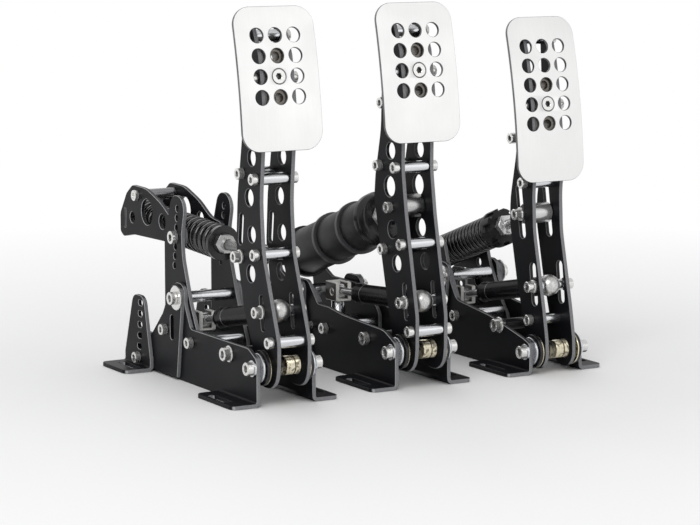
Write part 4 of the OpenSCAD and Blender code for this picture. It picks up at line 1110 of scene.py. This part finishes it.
def grind_ends(start, end):
    for plane_at, outward in ((start, -1), (end, 1)):
        bpy.ops.mesh.select_all(action="SELECT")
        bpy.ops.mesh.bisect(
            plane_co=(0, plane_at, 0),
            plane_no=(0, outward, 0),
            use_fill=True,
            clear_outer=True,
        )


def wind_spring(name, front_pivot, tilt, start, end, wire_d, turns):
    bpy.ops.object.select_all(action="DESELECT")
    rise = end - start - wire_d / 2
    bpy.ops.mesh.primitive_circle_add(
        vertices=WIRE_SIDES,
        radius=wire_d / 2,
        location=((SPRING_D - wire_d) / 2, start + wire_d / 4, 0.0),
    )
    spring = bpy.context.active_object
    spring.name = name
    bpy.ops.object.transform_apply(location=True, rotation=True, scale=True)
    apply_modifier(
        spring,
        "winding",
        "SCREW",
        axis="Y",
        angle=2 * math.pi,
        screw_offset=rise / turns,
        iterations=turns,
        steps=STEPS_PER_TURN,
        render_steps=STEPS_PER_TURN,
    )
    bpy.ops.object.mode_set(mode="EDIT")
    bpy.ops.mesh.select_all(action="SELECT")
    bpy.ops.mesh.remove_doubles(threshold=MERGE_WITHIN)
    bpy.ops.mesh.fill_holes(sides=0)
    grind_ends(start, end)
    bpy.ops.mesh.select_all(action="SELECT")
    bpy.ops.mesh.normals_make_consistent(inside=False)
    bpy.ops.object.mode_set(mode="OBJECT")
    put_in_place(spring, front_pivot, tilt)
    bpy.ops.object.shade_smooth_by_angle(angle=SPRING_SMOOTH)
    wear_finish(spring, spring_black)
    print(name, "faces", len(spring.data.polygons))
    return spring


for pedal, front, tilt, start, end, wire, turns, body, kept in SPRINGS:
    spring = wind_spring(pedal + "_coil", front, tilt, start * MM, end * MM, wire * MM, turns)
    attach(spring, body)
    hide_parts(pedal + "_spring")
    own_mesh(spring)

# %% [markdown]
# The brake works against three rubber blocks on a guide tube, with a steel disc between each two.
# A block is a thick ring with soft edges. Its section is a rectangle beside the axis; the corners
# are rounded, and Spin turns it into a ring.

# %% Brake rubbers
RING_STEPS = 72
RUBBER_R = 18.8 * MM
RUBBER_BORE_R = 9.6 * MM
RUBBER_EDGE = 1.6 * MM
RUBBER_EDGE_STEPS = 5
RUBBER_SMOOTH = math.radians(50)
RUBBERS = (
    ("brake_rubber_front", 47.0, 74.0, "brake_front_disc"),
    ("brake_rubber_middle", 77.5, 113.0, "brake_rear_disc"),
    ("brake_rubber_rear", 116.5, 163.0, "bases"),
)


def turn_rubber(name, start, end):
    bpy.ops.object.select_all(action="DESELECT")
    bpy.ops.mesh.primitive_plane_add(size=1.0)
    block = bpy.context.active_object
    block.name = name
    block.scale = (RUBBER_R - RUBBER_BORE_R, end - start, 1.0)
    put_in_place(block, ((RUBBER_R + RUBBER_BORE_R) / 2, (start + end) / 2, 0.0), 0.0)
    bpy.ops.object.mode_set(mode="EDIT")
    bpy.ops.mesh.select_all(action="SELECT")
    bpy.ops.mesh.bevel(offset=RUBBER_EDGE, segments=RUBBER_EDGE_STEPS, affect="VERTICES")
    bpy.ops.mesh.select_all(action="SELECT")
    bpy.ops.mesh.delete(type="ONLY_FACE")
    bpy.ops.mesh.select_all(action="SELECT")
    bpy.ops.mesh.spin(
        steps=RING_STEPS,
        angle=2 * math.pi,
        center=(0, 0, 0),
        axis=(0, 1, 0),
        use_auto_merge=False,
    )
    bpy.ops.mesh.select_all(action="SELECT")
    bpy.ops.mesh.remove_doubles(threshold=MERGE_WITHIN)
    bpy.ops.mesh.normals_make_consistent(inside=False)
    bpy.ops.object.mode_set(mode="OBJECT")
    put_in_place(block, BRAKE_FRONT, BRAKE_TILT)
    bpy.ops.object.shade_smooth_by_angle(angle=RUBBER_SMOOTH)
    wear_finish(block, rubber_black)
    print(name, "faces", len(block.data.polygons))
    return block


for name, start, end, body in RUBBERS:
    rubber = turn_rubber(name, start * MM, end * MM)
    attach(rubber, body)
    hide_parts("brake_rubbers")
    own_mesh(rubber)

# %% [markdown]
# The stage is a wide pale floor that runs on past the picture's top edge, so no horizon
# shows. Near the set it is a plain matt floor that takes the shadows. Further out it fades
# to pure white for the camera and for reflections, as a photo studio's floor does, without
# any more light on the object.

# %% Floor
FLOOR_SIZE = 60.0
FLOOR = ((0.89, 0.89, 0.895), (0.91, 0.91, 0.91))
FLOOR_CLOUD = 0.7
FLOOR_ROUGH = 0.6
FLOOR_GLOSS = 0.2
FADE_SPAN = (0.28, 0.9)
SEEN_BY = ("Is Glossy Ray", "Is Transmission Ray")


def studio_floor():
    finish, tree, shader = start_finish("studio_floor")
    place = object_place(tree)
    cloud = grain(tree, place, FLOOR_CLOUD)
    tree.links.new(two_tone(tree, cloud, FLOOR), shader.inputs["Base Color"])
    shader.inputs["Roughness"].default_value = FLOOR_ROUGH
    shader.inputs["Specular IOR Level"].default_value = FLOOR_GLOSS
    rays = add_node(tree, "ShaderNodeLightPath").outputs
    seen = rays["Is Camera Ray"]
    for ray in SEEN_BY:
        seen = math_node(tree, "MAXIMUM", seen, rays[ray])
    far = map_range(tree, distance_from(tree, place, (0, 0, 0)), *FADE_SPAN)
    white = add_node(tree, "ShaderNodeEmission")
    white.inputs["Color"].default_value = (1.0, 1.0, 1.0, 1.0)
    white.inputs["Strength"].default_value = 1.0
    fade = add_node(tree, "ShaderNodeMixShader")
    tree.links.new(math_node(tree, "MULTIPLY", seen, far), fade.inputs["Fac"])
    tree.links.new(shader.outputs["BSDF"], fade.inputs[1])
    tree.links.new(white.outputs["Emission"], fade.inputs[2])
    tree.links.new(fade.outputs["Shader"], tree.nodes["Material Output"].inputs["Surface"])
    return finish


bpy.ops.object.select_all(action="DESELECT")
bpy.ops.mesh.primitive_plane_add(size=FLOOR_SIZE, location=(0.0, 0.0, 0.0))
floor = bpy.context.active_object
floor.name = "studio_floor"
wear_finish(floor, studio_floor())
print("floor:", FLOOR_SIZE, "m wide")

# %% [markdown]
# The light is plain and soft: a pale world from all around, a large lamp from the upper
# front left, a low wide one in front that the foot plates mirror, and a weak one behind.

# %% Light
WORLD_STRENGTH = 0.7
LAMPS_AIM_AT = Vector((0.0, 0.0, 0.1))
# name, place, size, power
LAMPS = (
    ("key_lamp", (-1.6, -1.6, 2.0), 1.6, 24.0),
    ("front_lamp", (0.75, -1.8, 0.78), 1.2, 2.6),
    ("back_lamp", (0.2, 2.0, 1.8), 1.6, 10.0),
)
world = bpy.data.worlds.new("studio_world")
world.use_nodes = True
background = world.node_tree.nodes["Background"]
background.inputs["Color"].default_value = (1.0, 1.0, 1.0, 1.0)
background.inputs["Strength"].default_value = WORLD_STRENGTH
bpy.context.scene.world = world

for name, place, size, power in LAMPS:
    bpy.ops.object.light_add(type="AREA", location=place)
    lamp = bpy.context.active_object
    lamp.name = name
    lamp.data.shape = "SQUARE"
    lamp.data.size = size
    lamp.data.energy = power
    aim = LAMPS_AIM_AT - Vector(place)
    lamp.rotation_euler = aim.to_track_quat("-Z", "Y").to_euler()
bpy.context.scene.view_settings.view_transform = "Standard"
print("lamps:", len(LAMPS))
